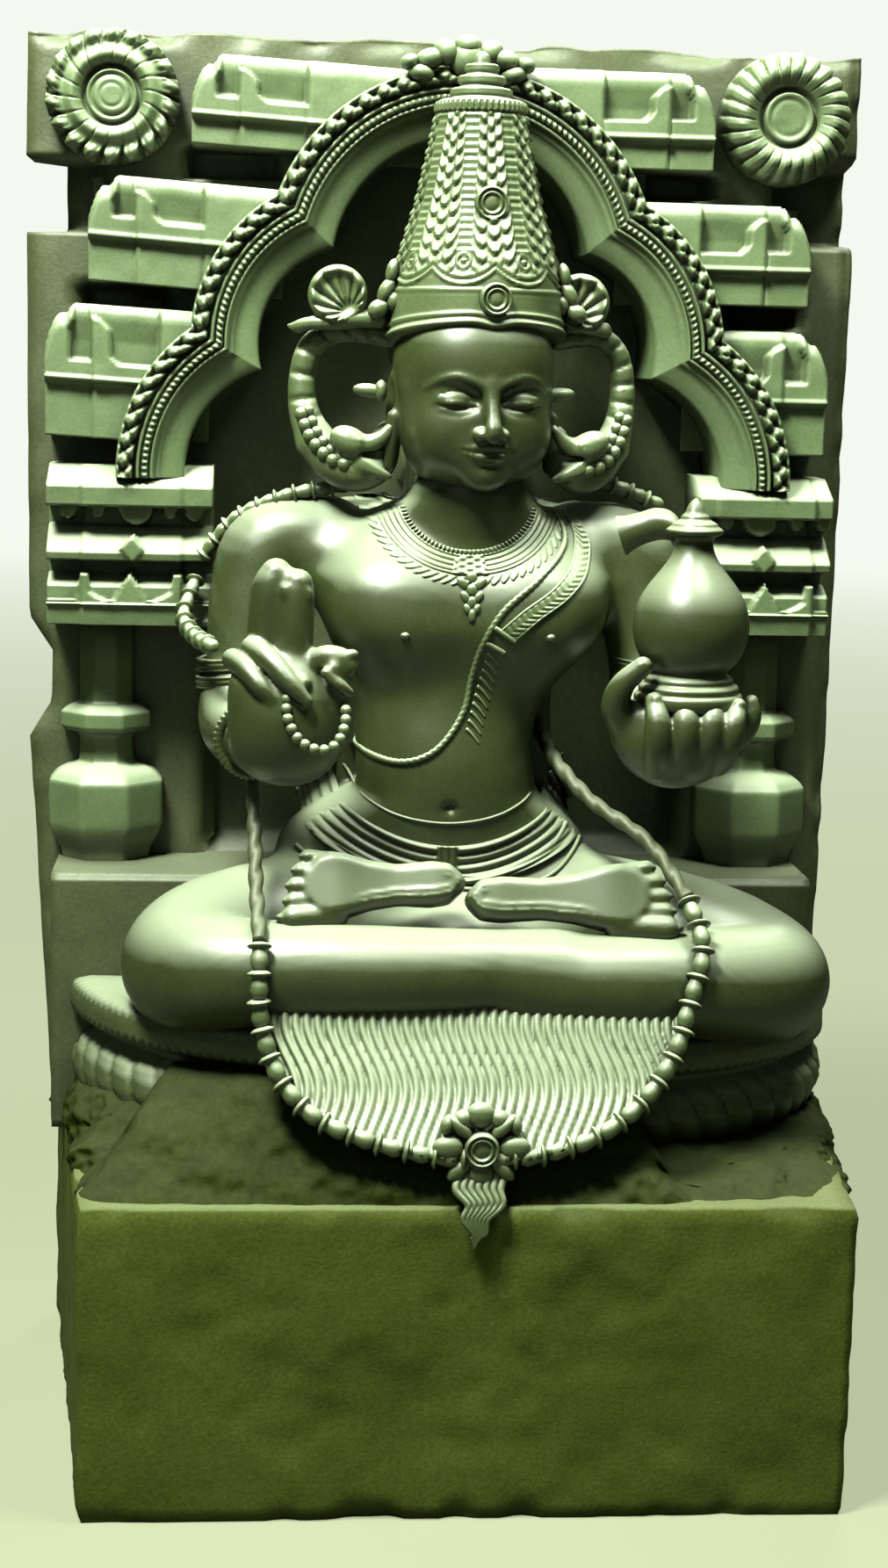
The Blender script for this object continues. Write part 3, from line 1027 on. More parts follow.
# The hand that holds the water pot: four fingers close over the foot of the pot from below, the
# little finger points outward, and the thumb lies against the left side.
clay = clay_block((104, -146, 516), (280, -30, 640), HAND_STEP)
WRIST = [(156, -40, 563, 25.4), (160, -62, 563, 26), (164, -82, 566, 32), (172, -92, 572, 34)]
limb(clay, WRIST, 5, 6)
egg(clay, (168, -88, 574), (50, 32, 34), 12)
limb(clay, [(140, -100, 590, 8), (176, -100, 592, 9), (206, -96, 592, 8)], 8, 6)
FINGERS = [(147, -3, 10.2), (168, 0, 11), (187, 4, 10.4), (204, 8, 9.4)]
for finger, (finger_x, lean, size) in enumerate(FINGERS):
    limb(clay, [(finger_x - lean, -104, 552 + finger, size),
                (finger_x - lean * 0.3, -120, 570 + finger, size + 0.6),
                (finger_x, -123, 588, size - 0.4),
                (finger_x + lean * 0.5, -114, 603 - finger, size * 0.72)], 2.4, 6)
    egg(clay, (finger_x + lean * 0.5, -119.5, 605.5 - finger), (size * 0.42, 4, size * 0.38), 1.2)
LITTLE_FINGER = [(204, -92, 570, 12), (216, -96, 580, 10), (221, -100, 591, 8), (221, -100, 602, 5.4)]
POT_THUMB = [(136, -86, 578, 18), (120, -98, 596, 12), (122, -108, 614, 9.2), (136, -113, 629, 7.4)]
limb(clay, LITTLE_FINGER, 4, 7)
limb(clay, POT_THUMB, 5, 7)
make_piece("pot_hand", drawn_skin(clay), polished)


# The head, a little turned to the viewer's right: a plain oval face on the usual proportions, with
# the eyes halfway up the whole head and the nose and brow at thirds of the face. It is made upright
# and facing forward, each feature at a depth read from the face below it, and then turned.
HEAD_AT, HEAD_TURN, HEAD_STEP = (16.0, 16.0, 752.0), 0.14, 1.6


def turned_head(points):
    """The same points turned about the upright axis of the head and moved to its place."""
    c, s = math.cos(HEAD_TURN), math.sin(HEAD_TURN)
    return points_of(HEAD_AT[0] + points[..., 0] * c - points[..., 1] * s,
                     HEAD_AT[1] + points[..., 0] * s + points[..., 1] * c,
                     HEAD_AT[2] + points[..., 2])


clay = clay_block((-70, -84, -10), (70, 62, 132), HEAD_STEP)
egg(clay, (0, 4, 92), (62, 64, 70), 6)
egg(clay, (0, -8, 60), (53, 52, 58), 20)
egg(clay, (0, -12, 36), (43, 44, 37), 18)
egg(clay, (0, -28, 100), (48, 34, 34), 16)
for side in (-1, 1):
    egg(clay, (side * 29, -34, 42), (22, 18, 23), 16)
    egg(clay, (side * 37, -2, 36), (15, 30, 27), 16)
egg(clay, (0, -46, 10), (15, 12, 11), 12)
egg(clay, (0, -46, 27), (23, 13, 17), 12)


def on_face(stops, side=1):
    """Stops given as x, z, radius and depth below the face, as x, y, z and radius."""
    rows = np.array(stops, float)
    y = front_of(clay, rows[:, 0] * side, rows[:, 1]) + rows[:, 3]
    return np.column_stack([rows[:, 0] * side, y, rows[:, 1], rows[:, 2]])


brows = [on_face([(2, 75, 1.5, 1.2), (12, 80.5, 1.9, 0.6), (25, 84.5, 1.9, 0.4), (37, 82, 1.7, 0.5),
                  (46, 76, 1.1, 1.2)], s) for s in (-1, 1)]
eyes = [on_face([(24.5, 67, 1, 0)], s)[0] for s in (-1, 1)]
nose = on_face([(0, 78, 4.6, 3), (0, 67, 4.8, -1.5), (0, 55, 5.4, -6), (0, 46, 6.6, -9.5),
                (0, 42, 7.0, -9.5)])
for side, eye in zip((-1, 1), eyes):
    egg(clay, (eye[0], eye[1] - 3, eye[2] + 1), (18, 8.5, 9.5), 9, cut=True)
    egg(clay, (eye[0], eye[1] + 12.5, eye[2]), (16, 13, 10.5), 4)
limb(clay, nose, 7)
for side in (-1, 1):
    wing = nose[-1] + np.array([side * 8.4, 5.5, -0.5, 0])
    egg(clay, wing[:3], (5.6, 7.5, 5.2), 3.5)
    egg(clay, wing[:3] + (-side * 3.2, -3.4, -4.6), (2.8, 3.6, 2.0), 1.6, cut=True)
for brow in brows:
    limb(clay, brow, 4, 7)
for side in (-1, 1):
    limb(clay, on_face([(10, 63.6, 1.0, 0.7), (17, 64.6, 1.5, 0.3), (25, 65.2, 1.7, 0.2),
                        (33, 65, 1.6, 0.3), (41.5, 65.6, 1.0, 0.9)], side), 1.2, 7)
    limb(clay, on_face([(11, 62.2, 0.9, 0.3), (18, 61.4, 1.4, 0), (26, 61.2, 1.5, 0), (34, 62, 1.3, 0),
                        (40, 63.6, 0.8, 0.2)], side), 1.0, 7, cut=True)
    limb(clay, on_face([(13, 59.6, 0.7, 0.7), (24, 57.2, 1.0, 0.5), (36, 59.6, 0.7, 0.7)], side),
         2.2, 7)
    limb(clay, on_face([(13, 70.4, 0.8, -0.1), (25, 73.8, 1.0, -0.1), (38, 71, 0.8, -0.1)], side),
         1.4, 7, cut=True)
mouth = on_face([(-22, 30.4, 0.9, -0.3), (-11, 28.3, 1.1, -1.2), (0, 28.6, 1.2, -1.4),
                 (11, 28.3, 1.1, -1.2), (22, 30.4, 0.9, -0.3)])
lips = [on_face([(-20, 31, 1.3, 1.0), (-10, 32, 2.6, 0.9), (-3, 33.2, 2.9, 0.6), (0, 32.4, 2.7, 0.6),
                 (3, 33.2, 2.9, 0.6), (10, 32, 2.6, 0.9), (20, 31, 1.3, 1.0)]),
        on_face([(-17, 28.3, 1.6, 1.2), (-8, 25, 3.2, 1.2), (0, 24, 3.9, 1.2), (8, 25, 3.2, 1.2),
                 (17, 28.3, 1.6, 1.2)])]
for lip in lips:
    limb(clay, lip, 2.2, 7)
limb(clay, mouth, 0.8, 7, cut=True)
chin_dip = on_face([(0, 17.5, 1, 0)])[0]
egg(clay, chin_dip[:3] + (0, -2.4, 0), (12, 4.2, 3.2), 5, cut=True)
lip_dip = on_face([(0, 38, 1, 0)])[0]
egg(clay, lip_dip[:3] + (0, -1.0, 0), (2.0, 2.0, 3.0), 2, cut=True)
for side in (-1, 1):
    egg(clay, (side * 61, 8, 62), (6, 13, 25), 4)
    egg(clay, (side * 65, 3, 64), (3.5, 7, 17), 3, cut=True)
    limb(clay, [(side * 62, -1, 52, 6), (side * 64, 2, 34, 7), (side * 65, 6, 16, 6.5)], 4)
points, quads, caps = drawn_skin(clay)
make_piece("head", (turned_head(points), quads, caps), polished)


# The tall crown: a plain diadem arched over the brow, swags above it, and a narrowing cone with
# columns of overlapping scales between reeded strips, under a stepped lid.
CROWN_X, CROWN_Y = 17.0, 24.0
CROWN_PROFILE = [(872, 66), (874, 68.5), (877, 69.5), (880, 68), (884, 67.5), (896, 67), (903, 65),
                 (908, 64), (930, 57.5), (968, 46), (1000, 39), (1030, 33), (1033, 33), (1034.5, 35),
                 (1039, 35), (1042, 34), (1043.5, 31), (1044.5, 24), (1046, 22.5), (1047.5, 24),
                 (1051, 23.8), (1052.2, 22), (1053.2, 17), (1055, 16), (1056.5, 18.6), (1060.5, 18.4),
                 (1061.6, 17), (1062.4, 12.6), (1064, 12), (1065.4, 13.4), (1069, 13.2), (1070.2, 12),
                 (1071, 7), (1074, 6.4), (1077, 5.4), (1080, 2)]
COLUMN_ANGLE = math.pi / 4
SCALE_PITCH, STRIP_OUTER, STRIP_INNER = 11.5, 5.4, 4.6
SWAG_FOOT, SWAG_RISE, BADGE_RING_Z = 905, 46, 922
HEM_ROLLS = (876, 882.5, 900.5)
profile_z, profile_r = np.array(CROWN_PROFILE).T
row_z = np.unique(np.concatenate([np.arange(872, 1036, 1.7), np.arange(1036, 1080.1, 1.3), profile_z]))
front_turn = HEAD_TURN + 1.95 * np.linspace(-1, 1, 220)
back_turn = np.linspace(front_turn[-1], front_turn[0] + 2 * math.pi, 26)[1:-1]
theta, z = np.meshgrid(np.concatenate([front_turn, back_turn]), row_z)
from_front = theta - HEAD_TURN
r = np.interp(z, profile_z, profile_r)
column = from_front / COLUMN_ANGLE
across = (column - np.round(column)) * COLUMN_ANGLE * r
half_column = COLUMN_ANGLE * r / 2
strip = smooth_step(np.abs(across), half_column - STRIP_OUTER, half_column - STRIP_INNER)
strip_rib = 0.9 + 0.7 * np.cos(2 * math.pi * z / 5.6)
strip_edge = bell(np.abs(across) - half_column, -5.2, 0.8)
lane_width = np.maximum((half_column - STRIP_OUTER) * 2 / 3, 3.0)
lane = np.clip(np.round(across / lane_width), -1, 1)
lane_x = across - lane * lane_width
fallen = z - 904 - 2.4 * lane_width * (lane_x / lane_width) ** 2 - 0.75 * lane * lane_x
fallen = fallen + np.abs(lane) * SCALE_PITCH / 2
overlap = np.mod(fallen, SCALE_PITCH) / SCALE_PITCH
scales = (3.9 * (1 - overlap) ** 1.3 * smooth_step(overlap, 0, 0.1)
          * (1 - 0.75 * np.abs(2 * lane_x / lane_width) ** 3))
scales = scales + 1.1 * smooth_step(np.hypot(lane_x, (overlap - 0.32) * SCALE_PITCH), 1.9, 0.8) - 0.5
in_cone = smooth_step(z, 908, 912) * smooth_step(z, 1034, 1031)
swag_at = np.mod(column, 1) - 0.5
swag_line = SWAG_FOOT + SWAG_RISE * swag_at ** 2
swags = sum(2.4 * bell(z - swag_line, rise, 1.5) for rise in (0, 5.4))
above_swag = smooth_step(z, swag_line + 6, swag_line + 9)
ring_boss = np.hypot(swag_at * COLUMN_ANGLE * r, z - BADGE_RING_Z)
bosses = 2.6 * bell(ring_boss, 5.2, 1.2) + 2.4 * smooth_step(ring_boss, 2.8, 1.6)
bosses = bosses * (z < 931)
near_boss = smooth_step(ring_boss, 8.0, 6.6)
hem = sum(2.0 * bell(z, edge, 1.3) for edge in HEM_ROLLS)
cone = (1 - strip) * (scales + 0.9) + strip * strip_rib + 0.8 * strip_edge
cone = above_swag * (1 - near_boss) * cone
swags = smooth_step(z, 901, 904) * (z < 936) * swags * (1 - near_boss)
height = in_cone * cone + swags + bosses + hem
height *= smooth_step(np.abs(from_front), 2.0, 1.9)
rim_beads = 1.0 * np.cos(46 * theta) * band(z, 1034.5, 1041.5, 1.5)
arched = (15 * np.cos(np.clip(from_front * 0.9, -math.pi, math.pi)) - 13
          - 3.5 * bell(from_front, 0, 0.16))
falls = smooth_step(z, SWAG_FOOT, 872)
lean = 1 - 0.03 * smooth_step(z, 900, 1040)
reach = r + (height + rim_beads)
make_piece("crown", skin(points_of(CROWN_X + reach * np.sin(theta),
                                   CROWN_Y - reach * np.cos(theta) * lean, z + falls * arched)), crisp)


# Round badges, raised from the crown: one on the diadem and one halfway up, each a boss inside two
# rings.
BADGE_ROWS, BADGE_AROUND = 22, 56


def badge(centre, radius, facing=0.0):
    """A round badge facing forward, turned by facing: a boss inside two rings, with a flat back."""
    r = np.concatenate([np.linspace(0.4, 1, BADGE_ROWS), [1.02, 1.02]])[:, None] * radius
    angle = round_turn(BADGE_AROUND)
    rise = (3.4 * smooth_step(r, radius * 0.44, radius * 0.26)
            + 2.0 * bell(r, radius * 0.62, radius * 0.085)
            + 2.6 * bell(r, radius * 0.9, radius * 0.08) + 1.4)
    rise[-1] = -5
    x = r * np.cos(angle)
    c, s = math.cos(facing), math.sin(facing)
    return skin(points_of(centre[0] + x * c + rise * s, centre[1] - rise * c + x * s,
                          centre[2] + r * np.sin(angle)))


make_piece("crown_badges", merge([badge((26, -46.5, 894), 12, HEAD_TURN),
                                  badge((22.5, -24.5, 965), 12.5, HEAD_TURN)]), crisp)


# At each side of the head a looped ribbon hangs from a shell-shaped flower behind the diadem to a
# curled ornament at the shoulder, with a pointed ribbon end outside and a flower at the ear.
def path_frames(path):
    """The direction of a path at each point, and two directions square to it; the first of them is
    as level as it can be."""
    ahead_of = unit(np.gradient(path, axis=0))
    across = unit(np.cross(ahead_of, (0, 1.0, 0.02)))
    return ahead_of, across, np.cross(across, ahead_of)


def cord(path, radii, around=12, strands=0, lay=9.0, depth=0.22):
    """A tube along a path, with one radius or one for each point; with strands it is grooved like a
    rope that turns once in each lay."""
    path = np.asarray(path, float)
    _, across, facing = path_frames(path)
    run = run_along(path)[:, None]
    angle = round_turn(around)
    reach = np.broadcast_to(np.asarray(radii, float).reshape(-1, 1), (len(path), around))
    if strands:
        reach = reach * (1 - depth + depth * np.abs(np.cos(strands * angle / 2 + math.pi * run / lay)))
    rings = (path[:, None] + (reach * np.cos(angle))[..., None] * across[:, None]
             + (reach * np.sin(angle))[..., None] * facing[:, None])
    return skin(rings)


def points_at(path, run, places):
    """The points of a path at the given places along it, where run is the run of its own points."""
    return np.column_stack([np.interp(places, run, path[:, k]) for k in range(path.shape[1])])


def spaced(stops, spacing):
    """Points at an even spacing along the smooth path through stops."""
    path = smooth_path(stops, 24)
    run = run_along(path[:, :3])
    return points_at(path, run, np.arange(spacing / 2, run[-1], spacing))


def strung(centres, profile, around=10):
    """Beads strung on a path: each is its profile (place along the path, radius) carried round the
    path's direction; a fourth column of the centres, if any, scales the bead."""
    centres = np.asarray(centres, float)
    ahead_of, across, facing = path_frames(centres[:, :3])
    scale = centres[:, 3:4, None] if centres.shape[1] > 3 else np.ones((len(centres), 1, 1))
    place, reach = np.array(profile, float).T
    angle = round_turn(around)
    shapes = (centres[:, None, None, :3] + scale[..., None] * (
        place[None, :, None, None] * ahead_of[:, None, None]
        + (reach[:, None] * np.cos(angle))[None, ..., None] * across[:, None, None]
        + (reach[:, None] * np.sin(angle))[None, ..., None] * facing[:, None, None]))
    return merge([skin(shape) for shape in shapes])


ROUND_BEAD = [(-1, 0.15), (-0.8, 0.62), (-0.3, 0.96), (0.3, 0.96), (0.8, 0.62), (1, 0.15)]
LOCKS = [("side_locks_left", -1, 1.0, (-90, 896), (-128, 871)),
         ("side_locks_right", 1, 0.8, (97, 894), (124, 873))]
LOOP = [(66, 30, 866, 9), (88, 32, 869, 9), (110, 36, 868, 9.5), (127, 40, 855, 10),
        (133, 40, 832, 10.5), (131, 36, 806, 12), (122, 30, 784, 15), (106, 24, 768, 17),
        (88, 20, 763, 17), (74, 22, 770, 15), (66, 26, 790, 11)]
# Each jaw of the curled ornament at the end of a loop, as steps from its snout and a radius.
JAWS = [[(10, 0, 6, 8), (-2, -3, 12, 6), (-10, -4, 22, 3.4)],
        [(12, 0, -8, 8), (2, -3, -13, 5.4), (-8, -4, -17, 3)]]
MANES = [(0, 5.4), (9, 4.6)]
EAR_LEAVES = [(70, 900, 6, 11, 0.5), (66, 914, 5, 10, 0.2), (76, 886, 7, 9, 1.0), (64, 892, 7, 8, 0.0)]
LOCKS_STEP, LOOP_SCALE, FAN_R, FAN_BACK = 2.1, 12.0, 22, 40
for locks_name, side, wide, fan_at, tip_at in LOCKS:
    at = [(CROWN_X + side * (60 + (dx - 60) * wide), y, z, radius * (0.6 + 0.4 * wide))
          for dx, y, z, radius in LOOP]
    near, far = sorted((CROWN_X + side * 44, CROWN_X + side * 158))
    clay = clay_block((near, -12, 738), (far, 84, 908), LOCKS_STEP)
    limb(clay, at[:7], 4)
    limb(clay, at[6:], 4)
    snout = np.array([at[9][0], 8, 776])
    egg(clay, snout + (side * 22 * wide, 0, 8), (17, 12, 12), 5, lean=0.5 * side)
    for jaw in JAWS:
        limb(clay, [(*(snout + (side * dx, dy, dz)), radius) for dx, dy, dz, radius in jaw], 3)
    egg(clay, snout + (side * 3, -6, -1), (12, 8, 2.6), 2, cut=True, lean=0.1 * side)
    egg(clay, snout + (side * 16 * wide, -8.5, 9), (4.4, 4, 4.4), 1.2)
    egg(clay, snout + (side * 16 * wide, -12.5, 9), (1.8, 2, 1.8), 0.8, cut=True)
    points, quads, caps = drawn_skin(clay)
    outer = smooth_step(np.abs(points[:, 0] - CROWN_X), 66, 78) * smooth_step(points[:, 2], 796, 806)
    along = np.arctan2(points[:, 2] - 826, points[:, 0] - at[0][0]) * 46
    scale_phase = np.mod(along / LOOP_SCALE, 1) - 0.5
    points[:, 1] += 2.6 * bell(scale_phase, 0, 0.14) * outer
    parts = [(points, quads, caps)]
    for mane_shift, mane_size in MANES:
        mane = spaced([(x + side * (4 - mane_shift * 0.6), y - 15, z + 3 + 0.3 * mane_shift)
                       for x, y, z, _ in at[5:9]], 9.0)
        parts.append(strung(np.column_stack([mane, np.full(len(mane), mane_size)]), ROUND_BEAD))
    turn = round_turn(136)
    reach = np.concatenate([np.linspace(0.5, FAN_R, 24), [FAN_R + 0.6] * 2])[:, None]
    fan_u, fan_v = reach * np.cos(turn), reach * np.sin(turn)
    fan_angle = np.arctan2(fan_v + 13, fan_u + 9)
    flute = np.abs(np.cos(fan_angle * 8.5)) * smooth_step(np.hypot(fan_u + 9, fan_v + 13), 4, 12)
    dish = 17 - 4 * bell(reach, 19, 4) - 3.4 * flute * smooth_step(reach, FAN_R, 19)
    dish[-1] = FAN_BACK
    parts.append(skin(points_of(fan_at[0] + side * fan_u, dish, fan_at[1] + fan_v)))
    leaf_path = smooth_path([(CROWN_X + side * 68, 22, 880, 9), (fan_at[0] + side * 4, 20, 876, 7),
                             (fan_at[0] + side * 20, 24, 874, 6.5),
                             (tip_at[0] - side * 8, 28, tip_at[1], 5.5),
                             (tip_at[0], 31, tip_at[1] + 1, 0.8)], 8)
    parts.append(cord(leaf_path[:, :3], leaf_path[:, 3], 14, strands=2, lay=40))
    for leaf_x, leaf_z, leaf_w, leaf_h, lean in EAR_LEAVES:
        parts.append(bud((CROWN_X + side * leaf_x, 8, leaf_z), (leaf_w, 8, leaf_h), lean * side))
    ear_x = CROWN_X + side * (82 if side < 0 else 64)
    parts.append(bud((ear_x, 6, 824), (13, 6, 5.5), 0.1 * side))
    parts.append(bud((ear_x - side * 9, 4, 824), (5, 7, 8.5)))
    make_piece(locks_name, merge(parts), crisp)


# The broad collar lies on the chest: a row of beads, four ridges, a groove and a fringe of leaves,
# with a clasp and a pendant of small leaves in the middle.
SHEET_SUNK = 4.0


def laid_on(clay, x, z, height):
    """A thin closed sheet on the clay: a grid of places (x, z) raised by height above its front
    surface, and the same grid sunk below it."""
    y = front_of(clay, x, z)
    under = points_of(x, y + SHEET_SUNK, z)[:, ::-1]
    return skin(np.concatenate([points_of(x, y - height, z), under], axis=1))


COLLAR_X, COLLAR_Z, COLLAR_SWING = 14.0, 744.0, 1.48
COLLAR_INNER, COLLAR_OUTER, COLLAR_WIDE = (50.0, 39.0), (84.0, 67.0), 31.0
COLLAR_BEAD, COLLAR_RIDGE, COLLAR_LEAF = 3.4, 4.0, 5.0
RIDGES, FRINGE_FROM = (4.2, 20.5), 21
swing = np.linspace(-COLLAR_SWING, COLLAR_SWING, 250)[:, None]
out = np.linspace(0, COLLAR_WIDE, 40)[None, :]
share = out / COLLAR_WIDE
half_x = COLLAR_INNER[0] + (COLLAR_OUTER[0] - COLLAR_INNER[0]) * share
half_z = COLLAR_INNER[1] + (COLLAR_OUTER[1] - COLLAR_INNER[1]) * share
x, z = COLLAR_X + half_x * np.sin(swing), COLLAR_Z - half_z * np.cos(swing)
run = swing * 52
bead = 3.2 * band(out, 0.2, 3.8, 1.0) * (0.55 + 0.45 * np.cos(2 * math.pi * run / COLLAR_BEAD))
ridges = (band(out, *RIDGES, 0.8)
          * (0.6 + 1.6 * np.abs(np.cos(math.pi * (out - 4.4) / COLLAR_RIDGE))))
leaves = np.mod((run + 0.75 * (out - FRINGE_FROM)) / COLLAR_LEAF, 1) - 0.5
fringe_end = COLLAR_WIDE - 1 - 9 * np.abs(leaves) ** 1.5
fringe = ((2.3 - 1.7 * np.abs(leaves) * 2) * band(out, FRINGE_FROM + 0.6, 99, 0.8)
          * smooth_step(out, fringe_end + 0.6, fringe_end - 0.8))
clasp = smooth_step(np.abs(swing), 0.20, 0.18) * band(out, 4.4, 20.5, 0.8)
clasp_marks = 0.5 * np.cos(2 * math.pi * (out - 4.4) / 5.4) * np.cos(2 * math.pi * swing / 0.19)
height = np.where(clasp > 0.5, 3.4 + 1.6 * clasp_marks, bead + ridges + fringe) - 0.3
height = height - 1.2 * smooth_step(np.abs(swing), 1.36, COLLAR_SWING)
parts = [laid_on(body_clay, x, z, height)]
PENDANT = [(15, 684, 4.6, 5, 0), (8, 680, 3.6, 6, 0.7), (22, 680, 3.6, 6, -0.7), (15, 675, 4.2, 5, 0),
           (10, 670, 3.2, 5.5, 0.6), (20, 670, 3.2, 5.5, -0.6), (15, 666, 3.8, 5, 0),
           (11.5, 661, 2.8, 4.6, 0.4), (18.5, 661, 2.8, 4.6, -0.4), (15, 656, 3.0, 5.5, 0)]
parts += [bud((px, float(front_of(body_clay, px, pz)) - 0.8, pz), (w, 2.8, h), lean)
          for px, pz, w, h, lean in PENDANT]
make_piece("collar", merge(parts), crisp)


# The sacred thread hangs from the left shoulder across the chest to the right hip; beside its upper
# part lies a plaited sash end, tied off by two bars, with a short fringe below along the thread.
THREAD = [(84, 734), (90, 716), (84, 702), (66, 684), (40, 661), (25, 636), (17, 610), (10, 579),
          (-11, 551), (-40, 541), (-75, 550), (-87, 565)]
SASH = [(96, 733), (103, 714), (98, 694), (82, 676), (60, 660), (41, 643)]
PLAIT_PITCH = 3.4


def draped(stops, rise, spacing=1.4):
    """A path laid on the body: even steps along the stops (x, z), raised a little off the skin."""
    flat = spaced([(sx, 0, sz) for sx, sz in stops], spacing)
    y = front_of(body_clay, flat[:, 0], flat[:, 2])
    kernel = np.hanning(9)[1:-1] / np.hanning(9).sum()
    y = np.convolve(np.pad(y, 3, mode="edge"), kernel, mode="valid")
    return np.column_stack([flat[:, 0], y - rise, flat[:, 2]])


parts = [cord(draped(THREAD, 0.8), 2.7, 10, strands=2, lay=5.2, depth=0.3)]
edge_a = smooth_path([(sash_x - 5.5, 0, sash_z + 1.5) for sash_x, sash_z in SASH], 24)
edge_b = smooth_path([(sash_x + 8, 0, sash_z - 5.5) for sash_x, sash_z in SASH], 24)
wide = np.linspace(0, 1, 22)
sash = edge_a[:, None] + (edge_b - edge_a)[:, None] * wide[None, :, None]
sash_run = np.arange(len(edge_a))[:, None] * 0.7
plait = (1.3 * np.abs(np.cos(math.pi * (sash_run + 6.5 * np.abs(wide - 0.5)) / PLAIT_PITCH))
         * band(wide, 0.14, 0.86, 0.1))
rolled = 1.4 * (bell(wide, 0.06, 0.05) + bell(wide, 0.94, 0.05))
parts.append(laid_on(body_clay, sash[..., 0], sash[..., 2], 1.2 + plait + rolled))
SASH_BARS = [[(32, 648), (50, 636)], [(26, 636), (42, 627)]]
FRINGE_STRANDS = 10
parts += [cord(draped(bar, 1.2), 2.1, 8) for bar in SASH_BARS]
for strand in range(FRINGE_STRANDS):
    start = np.array([27 - 1.6 * strand, 628 - 6.6 * strand])
    line = draped([start, start + (5, -4.5), start + (11, -12)], 0.2)
    parts.append(cord(line, np.linspace(1.6, 0.7, len(line)), 6))
make_piece("thread", merge(parts), crisp)


# The girdle: a broad folded cloth low on the hips, with a roll above and below, a pleat hanging in
# the middle, and a sash looped over each thigh.
GIRDLE_LEFT, GIRDLE_RIGHT, GIRDLE_MIDDLE = -116, 112, 4
GIRDLE_Z, GIRDLE_WIDE, GIRDLE_FOLDS = 476, 29, 4.0
hip_x = np.linspace(GIRDLE_LEFT, GIRDLE_RIGHT, 170)[:, None]
down = np.linspace(0, 1, 44)[None, :]
from_middle = (hip_x - GIRDLE_MIDDLE) ** 2
upper = GIRDLE_Z + 0.0040 * from_middle
wide = GIRDLE_WIDE + 0.0012 * from_middle
folds = np.abs(np.sin(math.pi * (GIRDLE_FOLDS * down + 0.00005 * from_middle))) ** 0.8
height = 0.8 + 3.2 * folds + 2.6 * smooth_step(down, 0.84, 0.9) + 1.6 * smooth_step(down, 0.16, 0.1)
height = height * smooth_step(np.abs(hip_x - 2), 118, 96) - 0.5
pleat = band(hip_x, -7, 9, 3)
height = height * (1 - pleat) + pleat * (5.2 + 1.2 * np.cos(2 * math.pi * hip_x / 5.4))
parts = [laid_on(body_clay, hip_x + 0 * down, upper - wide * down, height)]
SWAGS = [[(-6, 452), (-38, 452), (-72, 462), (-104, 482)],
         [(-6, 444), (-40, 442), (-80, 448), (-118, 470)],
         [(10, 452), (44, 452), (76, 464), (100, 488)], [(10, 444), (50, 443), (84, 452), (112, 476)],
         [(-78, 520), (-60, 508), (-34, 498), (0, 494), (34, 498), (60, 508), (76, 520)]]
SWAG_RADII = (2.6, 2.2, 2.6, 2.2, 1.3)
KNOT = [(98, 506), (106, 496), (112, 484)]
parts += [cord(draped(swag, 0.4, 2.0), girth, 10) for swag, girth in zip(SWAGS, SWAG_RADII)]
parts += [cord(draped([(knot_x + shift, knot_z) for knot_x, knot_z in KNOT], 1.5), 4.2, 10,
               strands=2, lay=14) for shift in (0, 7)]
make_piece("girdle", merge(parts), polished)


# Armlets and bracelets, cut from the same stone as the arms: two ribbed bands round each upper arm,
# one round each wrist, and a notched one beside the band on the raised hand's wrist.
def bangle(centre, radius, axis, wide, ribs, lean=0.0, depth=1.1, rows=9, around=64, teeth=0):
    """A band round a limb whose axis is "z" or "y": a closed ring with ribs along its width and,
    if it has teeth, notches round it."""
    along_limb = np.linspace(-wide / 2, wide / 2, rows)[:, None]
    angle = round_turn(around)
    outer = radius + 1.6 + depth * np.abs(np.cos(math.pi * ribs * along_limb / wide)) + 0 * angle
    if teeth:
        outer = outer + 0.8 * np.cos(teeth * angle)
    reach = np.concatenate([outer, np.full((rows, around), radius - 4)[::-1]])
    place = np.concatenate([along_limb, along_limb[::-1]]) + lean * reach * np.cos(angle)
    across, up = reach * np.cos(angle), reach * np.sin(angle)
    loops = points_of(across, up, place) if axis == "z" else points_of(across, place, up)
    loops = np.swapaxes(loops + np.array(centre), 0, 1)
    index = np.arange(loops.shape[0] * loops.shape[1]).reshape(loops.shape[:2])
    one, two = np.roll(index, -1, axis=0), np.roll(index, -1, axis=1)
    both = np.roll(two, -1, axis=0)
    quads = np.stack([index, one, both, two], axis=-1).reshape(-1, 4)
    return loops.reshape(-1, 3), quads, np.zeros((0, 3), np.int64)


BANGLES = [((-163, 32, 612), 31.5, "z", 9, 2, 0.12), ((-163, 27, 599), 31.0, "z", 9, 2, 0.12),
           ((166, 33, 612), 31, "z", 9, 2, -0.1), ((166, 28, 599), 30.5, "z", 9, 2, -0.1),
           ((-151, -50, 561), 27.0, "y", 7, 1, 0.0), ((158, -48, 563), 27.4, "y", 16, 3, 0.0)]
parts = [bangle(*args) for args in BANGLES]
parts.append(bangle((-150, -57, 561.5), 27.0, "y", 4, 1, 0.0, depth=2.0, teeth=40, around=160))
make_piece("bangles", merge(parts), polished)


